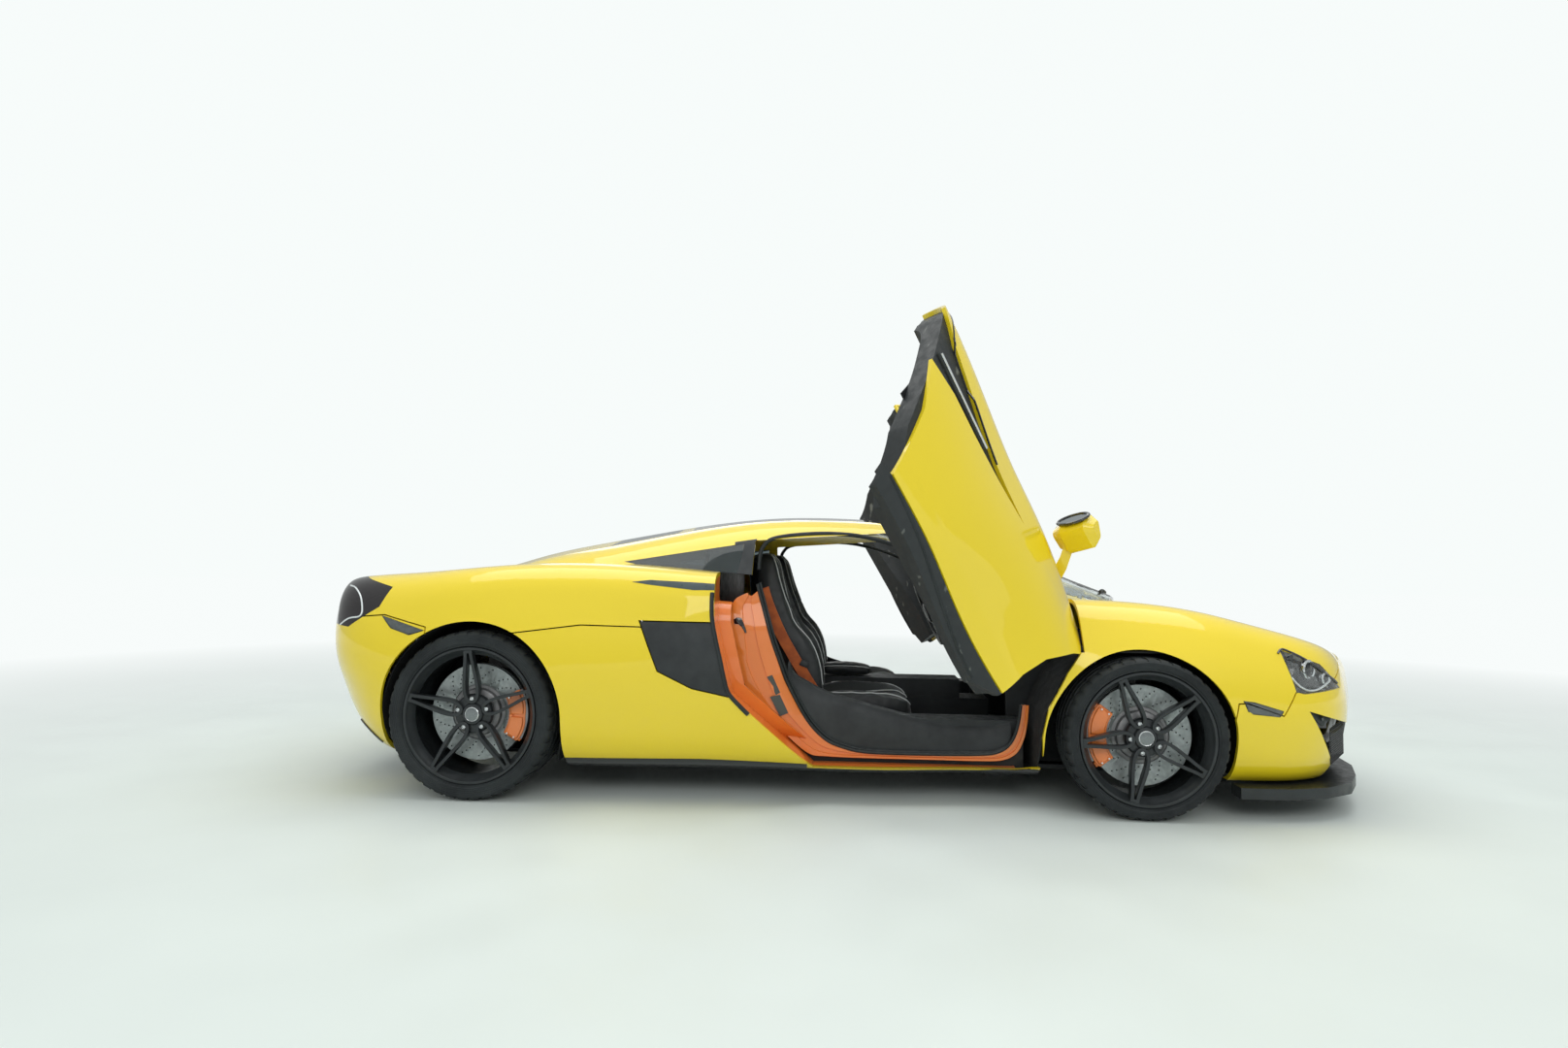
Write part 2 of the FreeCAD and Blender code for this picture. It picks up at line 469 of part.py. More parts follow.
# ------------------------------------------------------------------ front luggage well and grilles
WELL_WALL = 8.0
well_y = rail_y - SEAT_GAP
well_outer = box(1240, 1860, -well_y, well_y, 330, 640)
well = well_outer.cut(box(1240 + WELL_WALL, 1860 - WELL_WALL, -well_y + WELL_WALL, well_y - WELL_WALL,
                          330 + WELL_WALL, 700))
save("luggage_well", well)

splitter_outline = [(1520, -905), (1700, -905), (1860, -860), (2000, -770), (2100, -620), (2190, -430), (2235, -200),
                    (2245, 0), (2000, 0), (1900, -500), (1700, -780), (1520, -820)]
splitter = plan_prism(splitter_outline, 88, FLOOR_Z + 60).cut(body_outer).common(box(0, 3000, -1500, 0, 0, 130))
save("splitter", splitter.fuse(mirrored(splitter)).removeSplitter())

nose_x = axle_x(*BODY[0][:2]) + SEAT_GAP
plate_holder = box(nose_x, nose_x + PLATE_DEPTH - SEAT_GAP, -PLATE_WIDTH / 2, PLATE_WIDTH / 2, 300, 480)
save("plate_holder", plate_holder)

# ------------------------------------------------------------------ wheels
SPOKES = 5
SPOKE_SPLIT_DEG = 11.0
DISC_RADIUS = 197.0
DISC_THICKNESS = 34.0
HUB_RADIUS = 72.0
RIM_WALL = 12.0
BEAD_INSET = 2.0
TREAD_INSET = 16.0


def spun(profile, y_centre=0.0):
    """Ring about the Y axis from a closed outline of (y, radius) corners."""
    wire = Part.makePolygon([V(0, y_centre + y, r) for y, r in profile + profile[:1]])
    return Part.Face(wire).revolve(V(0, 0, 0), V(0, 1, 0), 360)


def tyre(radius, width, rim):
    bead = width / 2 - BEAD_INSET
    tread = width / 2 - TREAD_INSET
    return spun([(-bead, rim + SEAT_GAP), (-tread, radius), (tread, radius), (bead, rim + SEAT_GAP)])


def wheel(radius, width, spin_deg):
    """Rim, spokes, hub and brake disc about the Y axis, outer face at -Y."""
    face = -width / 2 + 6
    barrel = spun([(face, radius), (face, radius - RIM_WALL - 4), (face + 30, radius - RIM_WALL - 14),
                   (width / 2 - 8, radius - RIM_WALL - 6), (width / 2 - 8, radius),
                   (width / 2 - 16, radius), (width / 2 - 26, radius - 10), (face + 24, radius - 10),
                   (face + 10, radius)])
    hub = spun([(face + 34, 0), (face + 34, HUB_RADIUS - 12), (face + 46, HUB_RADIUS), (face + 86, HUB_RADIUS),
                (face + 86, 0)])
    spokes = []
    for i in range(SPOKES):
        for side in (-1, 1):
            outer_deg = side * SPOKE_SPLIT_DEG
            root = V(side * 20, face + 42, HUB_RADIUS - 14)
            tip_r = radius - RIM_WALL - 8
            tip = V(tip_r * math.sin(math.radians(outer_deg)), face + 10, tip_r * math.cos(math.radians(outer_deg)))
            sections = []
            for centre, wide, deep in ((root, 30, 34), (tip, 22, 26)):
                corners = [V(centre.x + dx, centre.y + dy, centre.z)
                           for dx, dy in ((-wide / 2, 0), (wide / 2, 0), (wide / 2, deep), (-wide / 2, deep))]
                sections.append(Part.makePolygon(corners + corners[:1]))
            spoke = Part.makeLoft(sections, True, True)
            spoke.rotate(V(0, 0, 0), V(0, 1, 0), spin_deg + i * 360 / SPOKES)
            spokes.append(spoke)
    return barrel.fuse([hub] + spokes)


def disc(width):
    face = -width / 2 + 6
    start = face + 86
    return spun([(start, 55), (start, 95), (start + 16, 112), (start + 16, DISC_RADIUS),
                 (start + 16 + DISC_THICKNESS, DISC_RADIUS), (start + 16 + DISC_THICKNESS, 112),
                 (start + 12, 95), (start + 12, 55)])


def caliper(width, side):
    """Brake caliper over the disc's edge; side +1 puts it ahead of the axle."""
    start = -width / 2 + 6 + 86 + 16
    outer = spun([(start - 30, DISC_RADIUS - 62), (start - 30, DISC_RADIUS + 22), (start + DISC_THICKNESS + 34, DISC_RADIUS + 22),
                  (start + DISC_THICKNESS + 34, DISC_RADIUS - 62), (start + DISC_THICKNESS + 3, DISC_RADIUS - 62),
                  (start + DISC_THICKNESS + 3, DISC_RADIUS + 4), (start - 3, DISC_RADIUS + 4),
                  (start - 3, DISC_RADIUS - 62)])
    wedge = Part.makePolygon([V(0, 0, 0), V(side * 400, 0, 210), V(side * 400, 0, -210), V(0, 0, 0)])
    cut = Part.Face(wedge).extrude(V(0, 400, 0))
    cut.translate(V(0, -200, 0))
    return outer.common(cut)


WHEELS = [
    ("front_right", FRONT_AXLE_X, FRONT_TRACK / 2, FRONT_TYRE_RADIUS, FRONT_TYRE_WIDTH, FRONT_RIM_RADIUS, -23, False),
    ("front_left", FRONT_AXLE_X, FRONT_TRACK / 2, FRONT_TYRE_RADIUS, FRONT_TYRE_WIDTH, FRONT_RIM_RADIUS, -23, True),
    ("rear_right", REAR_AXLE_X, REAR_TRACK / 2, REAR_TYRE_RADIUS, REAR_TYRE_WIDTH, REAR_RIM_RADIUS, -3, False),
    ("rear_left", REAR_AXLE_X, REAR_TRACK / 2, REAR_TYRE_RADIUS, REAR_TYRE_WIDTH, REAR_RIM_RADIUS, -3, True),
]


def at_wheel(shape, x, y, z, left):
    placed = shape.copy()
    placed.translate(V(x, -y, z))
    return mirrored(placed) if left else placed


for name, x, y, tyre_radius, tyre_width, rim_radius, spin, left in WHEELS:
    save("tyre_" + name, at_wheel(tyre(tyre_radius, tyre_width, rim_radius), x, y, tyre_radius, left))
    whole = wheel(rim_radius, tyre_width, spin).fuse(disc(tyre_width))
    save("wheel_" + name, at_wheel(whole, x, y, tyre_radius, left))

# ------------------------------------------------------------------ hub carriers and suspension
front_y = FRONT_TRACK / 2
rear_y = REAR_TRACK / 2
KINGPIN_INSET = 105.0
KINGPIN_RADIUS = 14.0
ARM_RADIUS = 10.0
KINGPIN_Y = front_y - KINGPIN_INSET
POST_TOP = 135.0
POST_FOOT = -125.0
BALL = 20.0


def carrier(side, width):
    """Upright with its ears, stub axle and caliper, in the right wheel's frame."""
    start = -width / 2 + 6 + 86
    y_kingpin = KINGPIN_INSET
    post = rod(V(0, y_kingpin, POST_FOOT), V(0, y_kingpin, POST_TOP), KINGPIN_RADIUS)
    stub = cross_rod(0, start + SEAT_GAP, y_kingpin, 0, 46)
    arm = box(min(0, side * 175), max(0, side * 175), start + 16 + DISC_THICKNESS + 12, y_kingpin + 4, -40, 40)
    return post.fuse(stub).fuse(arm).fuse(caliper(width, side))


front_carrier = carrier(-1, FRONT_TYRE_WIDTH)
rear_carrier = carrier(1, REAR_TYRE_WIDTH)
save("knuckle_right", at_wheel(front_carrier, FRONT_AXLE_X, front_y, FRONT_TYRE_RADIUS, False))
save("knuckle_left", at_wheel(front_carrier, FRONT_AXLE_X, front_y, FRONT_TYRE_RADIUS, True))
rear_carriers = at_wheel(rear_carrier, REAR_AXLE_X, rear_y, REAR_TYRE_RADIUS, False)


def wishbone(x, y_ball, z_ball, y_frame, z_frame, spread):
    """Two-legged arm from its ball joint to the side of the frame."""
    ball = V(x, -y_ball, z_ball)
    legs = [rod(V(x + dx, -y_frame, z_frame) + (V(x + dx, -y_frame, z_frame) - ball) * 0.1, ball, ARM_RADIUS)
            for dx in (-spread, spread)]
    tower = box(x - 200, x + 200, -y_frame, 0, 0, 1000)
    return legs[0].fuse(legs[1]).fuse(Part.makeSphere(BALL, ball)).cut(tower)


ball_heights = (POST_FOOT - BALL - SEAT_GAP, POST_TOP + BALL + SEAT_GAP)
front_arms = [wishbone(FRONT_AXLE_X, KINGPIN_Y, FRONT_TYRE_RADIUS + dz, TOWER_Y, FRONT_TYRE_RADIUS + fz, 60)
              for dz, fz in zip(ball_heights, (-30, 130))]
save("front_suspension", both_sides(Part.makeCompound(front_arms)))
rear_arms = [wishbone(REAR_AXLE_X, rear_y - KINGPIN_INSET, REAR_TYRE_RADIUS + dz, TOWER_Y,
                      REAR_TYRE_RADIUS + fz, 70)
             for dz, fz in zip(ball_heights, (-10, 130))]
save("rear_suspension", both_sides(rear_carriers.fuse(rear_arms)))

# ------------------------------------------------------------------ cabin
SEAT_Y = 332.0
SEAT_WIDTH = 468.0
SEAT_X = 60.0


def seat():
    foot = floor_top + WALL + SEAT_GAP
    cushion_side = [(-260, foot), (260, foot), (280, 260), (200, 300), (-180, 262), (-250, 270)]
    back_side = [(-330, 200), (-250, 200), (-200, 300), (-370, 720), (-420, 880), (-500, 885), (-460, 600), (-380, 260)]
    cushion = side_prism([(SEAT_X + x, z) for x, z in cushion_side], -SEAT_Y - SEAT_WIDTH / 2, -SEAT_Y + SEAT_WIDTH / 2)
    back = side_prism([(SEAT_X + x, z) for x, z in back_side], -SEAT_Y - SEAT_WIDTH / 2 + 20, -SEAT_Y + SEAT_WIDTH / 2 - 20)
    return cushion.fuse(back).removeSplitter()


save("seats", both_sides(seat()))
dash_side = [(560, 560), (700, 520), (975, 540), (975, 720), (900, 760), (700, 790), (590, 740)]
dash = side_prism(dash_side, -FOOTWELL_Y, FOOTWELL_Y).common(cabin_inner.fuse(body_inner))
dash = dash.cut(both_sides(bearing_envelope)).cut(box(690, FOOTWELL_X + 1, -FOOTWELL_Y - 1, FOOTWELL_Y + 1,
                                                     0, 640 + SEAT_GAP))
save("dashboard", dash)
console = box(-300, 560, -88, 88, 330 + SEAT_GAP, 420)
save("console", console)
wheel_centre = V(430, SEAT_Y, 740)
wheel_axis = V(-1, 0, 0.35)
steering_ring = Part.makeTorus(178, 15, wheel_centre, wheel_axis)
spoke_bar = box(-10, 10, -178, 178, -16, 16)
spoke_bar.rotate(V(0, 0, 0), V(0, 1, 0), -math.degrees(math.atan2(0.35, 1)))
spoke_bar.translate(wheel_centre)
column = rod(wheel_centre, wheel_centre + V(1, 0, -0.35).normalize() * 160, 34)
steering = steering_ring.fuse(spoke_bar).fuse(column).cut(dash)
save("steering_wheel", steering)
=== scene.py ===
import bpy
import json
from math import sin, cos, pi, radians, atan2, hypot
from mathutils import Vector, Matrix
from mathutils.bvhtree import BVHTree


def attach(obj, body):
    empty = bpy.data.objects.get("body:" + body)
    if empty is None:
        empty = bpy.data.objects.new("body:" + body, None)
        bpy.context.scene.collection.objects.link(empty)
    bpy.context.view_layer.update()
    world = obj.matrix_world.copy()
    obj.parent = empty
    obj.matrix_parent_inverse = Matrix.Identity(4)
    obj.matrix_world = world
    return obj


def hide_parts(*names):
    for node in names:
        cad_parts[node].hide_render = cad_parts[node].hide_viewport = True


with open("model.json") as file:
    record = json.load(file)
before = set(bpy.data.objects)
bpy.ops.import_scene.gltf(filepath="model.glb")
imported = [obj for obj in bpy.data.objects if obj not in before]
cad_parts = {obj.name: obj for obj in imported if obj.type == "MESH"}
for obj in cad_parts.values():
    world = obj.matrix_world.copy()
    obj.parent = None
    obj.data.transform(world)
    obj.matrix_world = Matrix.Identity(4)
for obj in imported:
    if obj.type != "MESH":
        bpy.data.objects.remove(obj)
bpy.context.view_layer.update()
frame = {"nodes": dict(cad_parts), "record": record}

FRONT_AXLE = (1.165, 0.310)
REAR_AXLE = (-1.505, 0.340)


# ---------------- finishes
class Finish:
    """A node material with short calls for its colour, grain and gloss."""

    def __init__(self, name, colour, roughness, **sockets):
        self.material = bpy.data.materials.new(name)
        self.material.use_nodes = True
        self.tree = self.material.node_tree
        self.shader = self.tree.nodes["Principled BSDF"]
        self.shader.inputs["Base Color"].default_value = (*colour, 1)
        self.shader.inputs["Roughness"].default_value = roughness
        for socket, value in sockets.items():
            self.shader.inputs[socket.replace("_", " ").title().replace("Ior", "IOR")].default_value = value
        self.colour = colour
        self.place = self.tree.nodes.new("ShaderNodeTexCoord")
        self.bumps = None

    def node(self, kind, **values):
        node = self.tree.nodes.new(kind)
        for name, value in values.items():
            if hasattr(node, name):
                setattr(node, name, value)
            else:
                node.inputs[name.replace("_", " ").title()].default_value = value
        return node

    def link(self, source, target):
        self.tree.links.new(source, target)

    def noise(self, scale, detail=2.0, stretch=None):
        noise = self.node("ShaderNodeTexNoise", scale=scale, detail=detail)
        where = self.place.outputs["Object"]
        if stretch:
            mapping = self.node("ShaderNodeMapping")
            mapping.inputs["Scale"].default_value = stretch
            self.link(where, mapping.inputs["Vector"])
            where = mapping.outputs["Vector"]
        self.link(where, noise.inputs["Vector"])
        return noise.outputs["Fac"]

    def cells(self, scale):
        cells = self.node("ShaderNodeTexVoronoi", scale=scale)
        self.link(self.place.outputs["Object"], cells.inputs["Vector"])
        return cells.outputs["Distance"]

    def ramp(self, source, low, high, start=0.35, end=0.65):
        ramp = self.node("ShaderNodeMapRange")
        for name, value in (("From Min", start), ("From Max", end), ("To Min", low), ("To Max", high)):
            ramp.inputs[name].default_value = value
        self.link(source, ramp.inputs["Value"])
        return ramp.outputs["Result"]

    def tint(self, source, other, start=0.4, end=0.6):
        """Colour that drifts to another where the pattern is high."""
        mix = self.node("ShaderNodeMix")
        mix.data_type = "RGBA"
        colours = [socket for socket in mix.inputs if socket.type == "RGBA"]
        colours[0].default_value = (*self.colour, 1)
        colours[1].default_value = (*other, 1)
        self.link(self.ramp(source, 0.0, 1.0, start, end), mix.inputs[0])
        mixed = [socket for socket in mix.outputs if socket.type == "RGBA"][0]
        self.link(mixed, self.shader.inputs["Base Color"])
        return self

    def gloss(self, source, low, high, start=0.35, end=0.65):
        self.link(self.ramp(source, low, high, start, end), self.shader.inputs["Roughness"])
        return self

    def grain(self, source, strength, depth):
        bump = self.node("ShaderNodeBump", strength=strength, distance=depth)
        self.link(source, bump.inputs["Height"])
        if self.bumps:
            self.link(self.bumps, bump.inputs["Normal"])
        self.bumps = bump.outputs["Normal"]
        self.link(self.bumps, self.shader.inputs["Normal"])
        return self


def made(name, colour, roughness, tint=None, gloss=None, grain=(), **sockets):
    """A finish whose colour and gloss drift and whose surface has layers of fine grain."""
    finish = Finish(name, colour, roughness, **sockets)
    if tint:
        scale, detail, *change = tint
        finish.tint(finish.noise(scale, detail), *change)
    if gloss:
        scale, detail, *change = gloss
        finish.gloss(finish.noise(scale, detail), *change)
    for scale, detail, strength, depth in grain:
        pattern = finish.noise(scale, detail) if detail else finish.cells(scale)
        finish.grain(pattern, strength, depth)
    return finish.material


def paint(name, colour, shade):
    return made(name, colour, 0.42, (2600, 1.0, shade, 0.35, 0.75), None, [(260, 1.0, 0.05, 0.0004)],
                coat_weight=1.0, coat_roughness=0.025, coat_ior=1.5, specular_ior_level=0.35)


def grained(name, colour, roughness, cells=900, depth=0.0003):
    worn = tuple(c * 1.5 + 0.004 for c in colour)
    return made(name, colour, roughness, (9, 4.0, worn, 0.35, 0.8),
                (30, 3.0, roughness - 0.08, roughness + 0.1), [(cells, None, 0.35, depth)],
                specular_ior_level=0.4)


def glazing(name, colour, roughness, transmission):
    return made(name, colour, roughness, None, (3, 2.0, roughness, roughness + 0.02),
                transmission_weight=transmission, ior=1.45, specular_ior_level=0.5)


yellow = paint("Yellow paint", (0.915, 0.700, 0.012), (0.84, 0.62, 0.008))
orange = paint("Orange paint", (0.88, 0.24, 0.035), (0.78, 0.19, 0.025))
caliper_orange = paint("Caliper enamel", (0.90, 0.25, 0.055), (0.80, 0.20, 0.04))
dark_plastic = grained("Grained black plastic", (0.020, 0.023, 0.025), 0.52)
scuffed = Finish("Scuffed rocker plastic", (0.024, 0.028, 0.030), 0.5, specular_ior_level=0.4)
scuffed.tint(scuffed.noise(26, 7.0, (1.0, 1.0, 0.35)), (0.17, 0.18, 0.165), 0.66, 0.74)
scuffed.gloss(scuffed.noise(30, 3.0), 0.42, 0.62)
scuffed.grain(scuffed.cells(900), 0.35, 0.0003)
scuffed_plastic = scuffed.material
trim_plastic = grained("Grey moulded trim", (0.045, 0.060, 0.062), 0.45, 700)
rubber_seal = grained("Rubber seal", (0.014, 0.018, 0.019), 0.5, 1500, 0.0001)
carpet = grained("Black carpet", (0.012, 0.013, 0.015), 0.95, 1300, 0.002)
cast = grained("Cast alloy", (0.22, 0.22, 0.225), 0.5, 420, 0.0006)
cast.node_tree.nodes["Principled BSDF"].inputs["Metallic"].default_value = 0.8
liner_felt = grained("Arch liner felt", (0.010, 0.011, 0.012), 0.92, 600, 0.0015)
gloss_black = made("Gloss black", (0.008, 0.009, 0.010), 0.12, None, (12, 3.0, 0.08, 0.2),
                   [(200, 1.0, 0.04, 0.0003)], coat_weight=1.0, coat_roughness=0.02)
wheel_black = made("Satin black wheel", (0.024, 0.028, 0.030), 0.36,
                   (14, 3.0, (0.032, 0.037, 0.040), 0.35, 0.7), (40, 2.0, 0.3, 0.42),
                   [(1800, 1.0, 0.12, 0.0002)], metallic=0.25, specular_ior_level=0.5)
tyre_rubber = made("Tyre rubber", (0.016, 0.019, 0.021), 0.72,
                   (6, 5.0, (0.030, 0.036, 0.038), 0.35, 0.75), (25, 4.0, 0.6, 0.82),
                   [(900, 2.0, 0.25, 0.0005)], specular_ior_level=0.35)
disc_iron = made("Brake disc iron", (0.36, 0.39, 0.39), 0.36, (60, 4.0, (0.27, 0.30, 0.30), 0.35, 0.7),
                 (90, 3.0, 0.3, 0.5), metallic=0.75)
bright_metal = made("Bright metal", (0.62, 0.64, 0.65), 0.16, None, (80, 2.0, 0.1, 0.26), metallic=1.0)
hub_grey = made("Grey hub cap", (0.22, 0.24, 0.245), 0.3, (400, 2.0, (0.17, 0.19, 0.195)), metallic=0.7,
                coat_weight=0.6, coat_roughness=0.05)
seat_hide = made("Black seat hide", (0.014, 0.016, 0.018), 0.5,
                 (7, 4.0, (0.024, 0.028, 0.030), 0.35, 0.75), (35, 3.0, 0.42, 0.6),
                 [(420, None, 0.35, 0.0008), (18, 3.0, 0.2, 0.003)], sheen_weight=0.25, sheen_roughness=0.4)
piping_cloth = made("Pale piping", (0.62, 0.64, 0.64), 0.6, grain=[(1600, 1.0, 0.3, 0.0004)],
                    sheen_weight=0.2)
blank_label = made("Blank grey label", (0.05, 0.055, 0.045), 0.4, grain=[(300, 1.0, 0.1, 0.0002)],
                   coat_weight=0.4)
light_guide = made("Pale light guide", (0.80, 0.84, 0.85), 0.25, grain=[(500, 1.0, 0.1, 0.0003)],
                   coat_weight=1.0)
mirror_glass = made("Mirror glass", (0.30, 0.33, 0.34), 0.03, None, (4, 2.0, 0.02, 0.06), metallic=1.0)
duct_grey = grained("Satin grey duct skin", (0.050, 0.068, 0.072), 0.34, 1200, 0.0001)

webbing = Finish("Orange webbing", (0.55, 0.12, 0.02), 0.7, sheen_weight=0.4)
weave = webbing.node("ShaderNodeTexWave", scale=320.0)
webbing.link(webbing.place.outputs["Object"], weave.inputs["Vector"])
webbing.grain(weave.outputs["Fac"], 0.5, 0.0006)
webbing.tint(webbing.noise(20, 3.0), (0.42, 0.085, 0.015))
belt_webbing = webbing.material

marker = Finish("Grey marker lens", (0.060, 0.072, 0.074), 0.22, coat_weight=1.0, coat_roughness=0.03)
marker.tint(marker.noise(40, 2.0), (0.085, 0.098, 0.10))
marker.grain(marker.node("ShaderNodeTexBrick", scale=160.0).outputs["Fac"], 0.2, 0.0004)
marker_lens = marker.material

clear_glass = glazing("Clear window glass", (0.86, 0.91, 0.90), 0.0, 1.0)
tinted_glass = glazing("Tinted window glass", (0.16, 0.20, 0.21), 0.0, 0.85)
black_glass = glazing("Black glass", (0.010, 0.012, 0.013), 0.03, 0.0)
lens_glass = glazing("Clear lens", (0.95, 0.97, 0.97), 0.0, 1.0)
smoked_lens = glazing("Smoked lamp lens", (0.030, 0.026, 0.028), 0.04, 0.15)


# ---------------- workshop
FINE_WELD = 0.00002
CAD_WELD = 0.00005
PATCH_WELD = 0.0003
PATCH_MARGIN = 0.03
LARGE_FACE = 0.0004       # CAD faces above this area may reach into a patch from outside
SHELL_ANGLE = 28


def object_mode():
    bpy.ops.object.mode_set(mode="OBJECT")


def edit_mode():
    bpy.ops.object.mode_set(mode="EDIT")


def pick_all():
    bpy.ops.mesh.select_all(action="SELECT")


def weld(reach=FINE_WELD):
    pick_all()
    bpy.ops.mesh.remove_doubles(threshold=reach)


def face_outwards():
    pick_all()
    bpy.ops.mesh.normals_make_consistent(inside=False)


def settle():
    """Put the active piece's place, turn and scale into its mesh."""
    bpy.ops.object.transform_apply(location=True, rotation=True, scale=True)


def deselect():
    if bpy.context.mode != "OBJECT":
        object_mode()
    bpy.ops.object.select_all(action="DESELECT")


def only(piece):
    deselect()
    piece.select_set(True)
    bpy.context.view_layer.objects.active = piece


def open_up(piece):
    """Enter edit mode with the whole piece picked."""
    only(piece)
    edit_mode()
    pick_all()


def pick_faces(piece, wanted):
    """Enter edit mode with only the wanted faces selected."""
    only(piece)
    edit_mode()
    bpy.ops.mesh.select_mode(type="FACE")
    bpy.ops.mesh.select_all(action="DESELECT")
    object_mode()
    for face in piece.data.polygons:
        face.select = wanted(face)
    edit_mode()


def modified(piece, kind, **settings):
    """Give a piece a modifier and apply it."""
    only(piece)
    modifier = piece.modifiers.new("shape", kind)
    for name, value in settings.items():
        setattr(modifier, name, value)
    bpy.ops.object.modifier_apply(modifier=modifier.name)
    return piece


def soften(piece, width, segments=2, angle=30):
    return modified(piece, "BEVEL", width=width, segments=segments, limit_method="ANGLE",
                    angle_limit=radians(angle))


def rounded(piece):
    return modified(piece, "SUBSURF", levels=1, render_levels=1)


def shaded(piece, angle):
    bpy.ops.object.shade_smooth_by_angle(angle=radians(angle))
    return piece


def done(piece, angle=32):
    """Back to object mode, place put into the mesh, faces outwards and shaded."""
    only(piece)
    settle()
    edit_mode()
    weld()
    face_outwards()
    object_mode()
    return shaded(piece, angle)


def dress(piece, name, finish, body="body"):
    piece.name = name
    piece.data.name = name
    piece.data.materials.clear()
    piece.data.materials.append(finish)
    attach(piece, body)
    return piece


def path(points):
    """A line of vertices through points, drawn by extruding one vertex along it."""
    deselect()
    points = [Vector(p) for p in points]
    bpy.ops.mesh.primitive_plane_add(size=0.01, location=points[0])
    piece = bpy.context.object
    settle()
    edit_mode()
    bpy.ops.mesh.select_mode(type="VERT")
    pick_all()
    bpy.ops.mesh.merge(type="CENTER")
    for a, b in zip(points, points[1:]):
        bpy.ops.mesh.extrude_region_move(TRANSFORM_OT_translate={"value": b - a})
    return piece


def turned_ring(profile, steps, capped=False):
    """A lathe-turned shape about the Y axis through the origin, from (across, radius) points."""
    loop = profile if capped else profile + profile[:1]
    piece = path([(0, across, radius) for across, radius in loop])
    pick_all()
    bpy.ops.mesh.spin(steps=steps, angle=2 * pi, center=(0, 0, 0), axis=(0, 1, 0))
    weld()
    bpy.ops.mesh.normals_make_consistent(inside=False)
    object_mode()
    return piece


def turned_mm(start, profile, steps, capped=False):
    """The same from points in mm, counted across from a start in metres."""
    return turned_ring([(start + across / 1000, radius / 1000) for across, radius in profile], steps, capped)


def smooth(points, steps):
    """Points along an even curve through the given ones."""
    curve = []
    ends = [points[0]] + list(points) + [points[-1]]
    for a, b, c, d in zip(ends, ends[1:], ends[2:], ends[3:]):
        for k in range(steps):
            t = k / steps
            curve.append(tuple(0.5 * (2 * q + (r - p) * t + (2 * p - 5 * q + 4 * r - s) * t * t
                                      + (3 * q - p - 3 * r + s) * t ** 3) for p, q, r, s in zip(a, b, c, d)))
    return curve + [tuple(points[-1])]


def filled(points):
    """A flat outline with its face, left in edit mode."""
    piece = path(points)
    pick_all()
    bpy.ops.mesh.edge_face_add()
    pick_all()
    return piece


def plate(points, push):
    """A flat outline filled and pushed to a thickness."""
    piece = filled(points)
    bpy.ops.mesh.extrude_region_move(TRANSFORM_OT_translate={"value": Vector(push)})
    face_outwards()
    object_mode()
    return piece


def rod(radius, depth, sides, place):
    """A round bar along Y."""
    deselect()
    bpy.ops.mesh.primitive_cylinder_add(vertices=sides, radius=radius, depth=depth, location=place,
                                        rotation=(pi / 2, 0, 0))
    settle()
    return bpy.context.object


def strip(points, radius, soft=True, resolution=3):
    """Round trim that follows points, turned into a mesh."""
    deselect()
    data = bpy.data.curves.new("strip", "CURVE")
    data.dimensions = "3D"
    data.bevel_depth = radius
    data.bevel_resolution = resolution
    data.resolution_u = 6
    data.use_fill_caps = True
    spline = data.splines.new("NURBS" if soft else "POLY")
    spline.points.add(len(points) - 1)
    for point, place in zip(spline.points, points):
        point.co = (*place, 1)
    if soft:
        spline.use_endpoint_u = True
        spline.order_u = 4 if len(points) > 3 else 3
    piece = bpy.data.objects.new("strip", data)
    bpy.context.scene.collection.objects.link(piece)
    only(piece)
    bpy.ops.object.convert(target="MESH")
    return bpy.context.object


def joined(pieces):
    deselect()
    for piece in pieces:
        piece.select_set(True)
    bpy.context.view_layer.objects.active = pieces[0]
    bpy.ops.object.join()
    return bpy.context.object


def turned(piece, angle, centre=(0, 0, 0)):
    open_up(piece)
    bpy.ops.transform.rotate(value=-angle, orient_axis="Y", center_override=centre)
    object_mode()
    return piece


def moved(piece, move):
    open_up(piece)
    bpy.ops.transform.translate(value=move)
    object_mode()
    return piece


def copied(piece):
    twin = piece.copy()
    twin.data = piece.data.copy()
    bpy.context.scene.collection.objects.link(twin)
    twin.hide_viewport = False
    twin.hide_render = False
    twin.hide_set(False)
    return twin


def bare_copy(node):
    """A free copy of a CAD solid without its notes."""
    piece = copied(frame["nodes"][node])
    piece.parent = None
    for key in list(piece.keys()):
        del piece[key]
    return piece


def other_side(piece, name, body):
    """The same piece on the other side of the car, with its own mesh."""
    twin = copied(piece)
    twin.parent = None
    twin.matrix_world = Matrix.Identity(4)
    open_up(twin)
    bpy.ops.transform.mirror(constraint_axis=(False, True, False), orient_type="GLOBAL",
                             center_override=(0, 0, 0))
    bpy.ops.mesh.normals_make_consistent(inside=False)
    object_mode()
    twin.name = name
    twin.data.name = name
    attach(twin, body)
    return twin


def pair(piece, name, finish, slot=None, body="body", left_body=None):
    """Dress a right-hand piece and make its left-hand twin."""
    dress(piece, name + "_right", finish, body)
    twin = other_side(piece, name + "_left", left_body or body)
    return piece, twin


def both(piece, name, finish, slot=None, angle=32):
    return pair(done(piece, angle), name, finish, slot)


def single(piece, name, finish, angle=32):
    return dress(done(piece, angle), name, finish, "body")


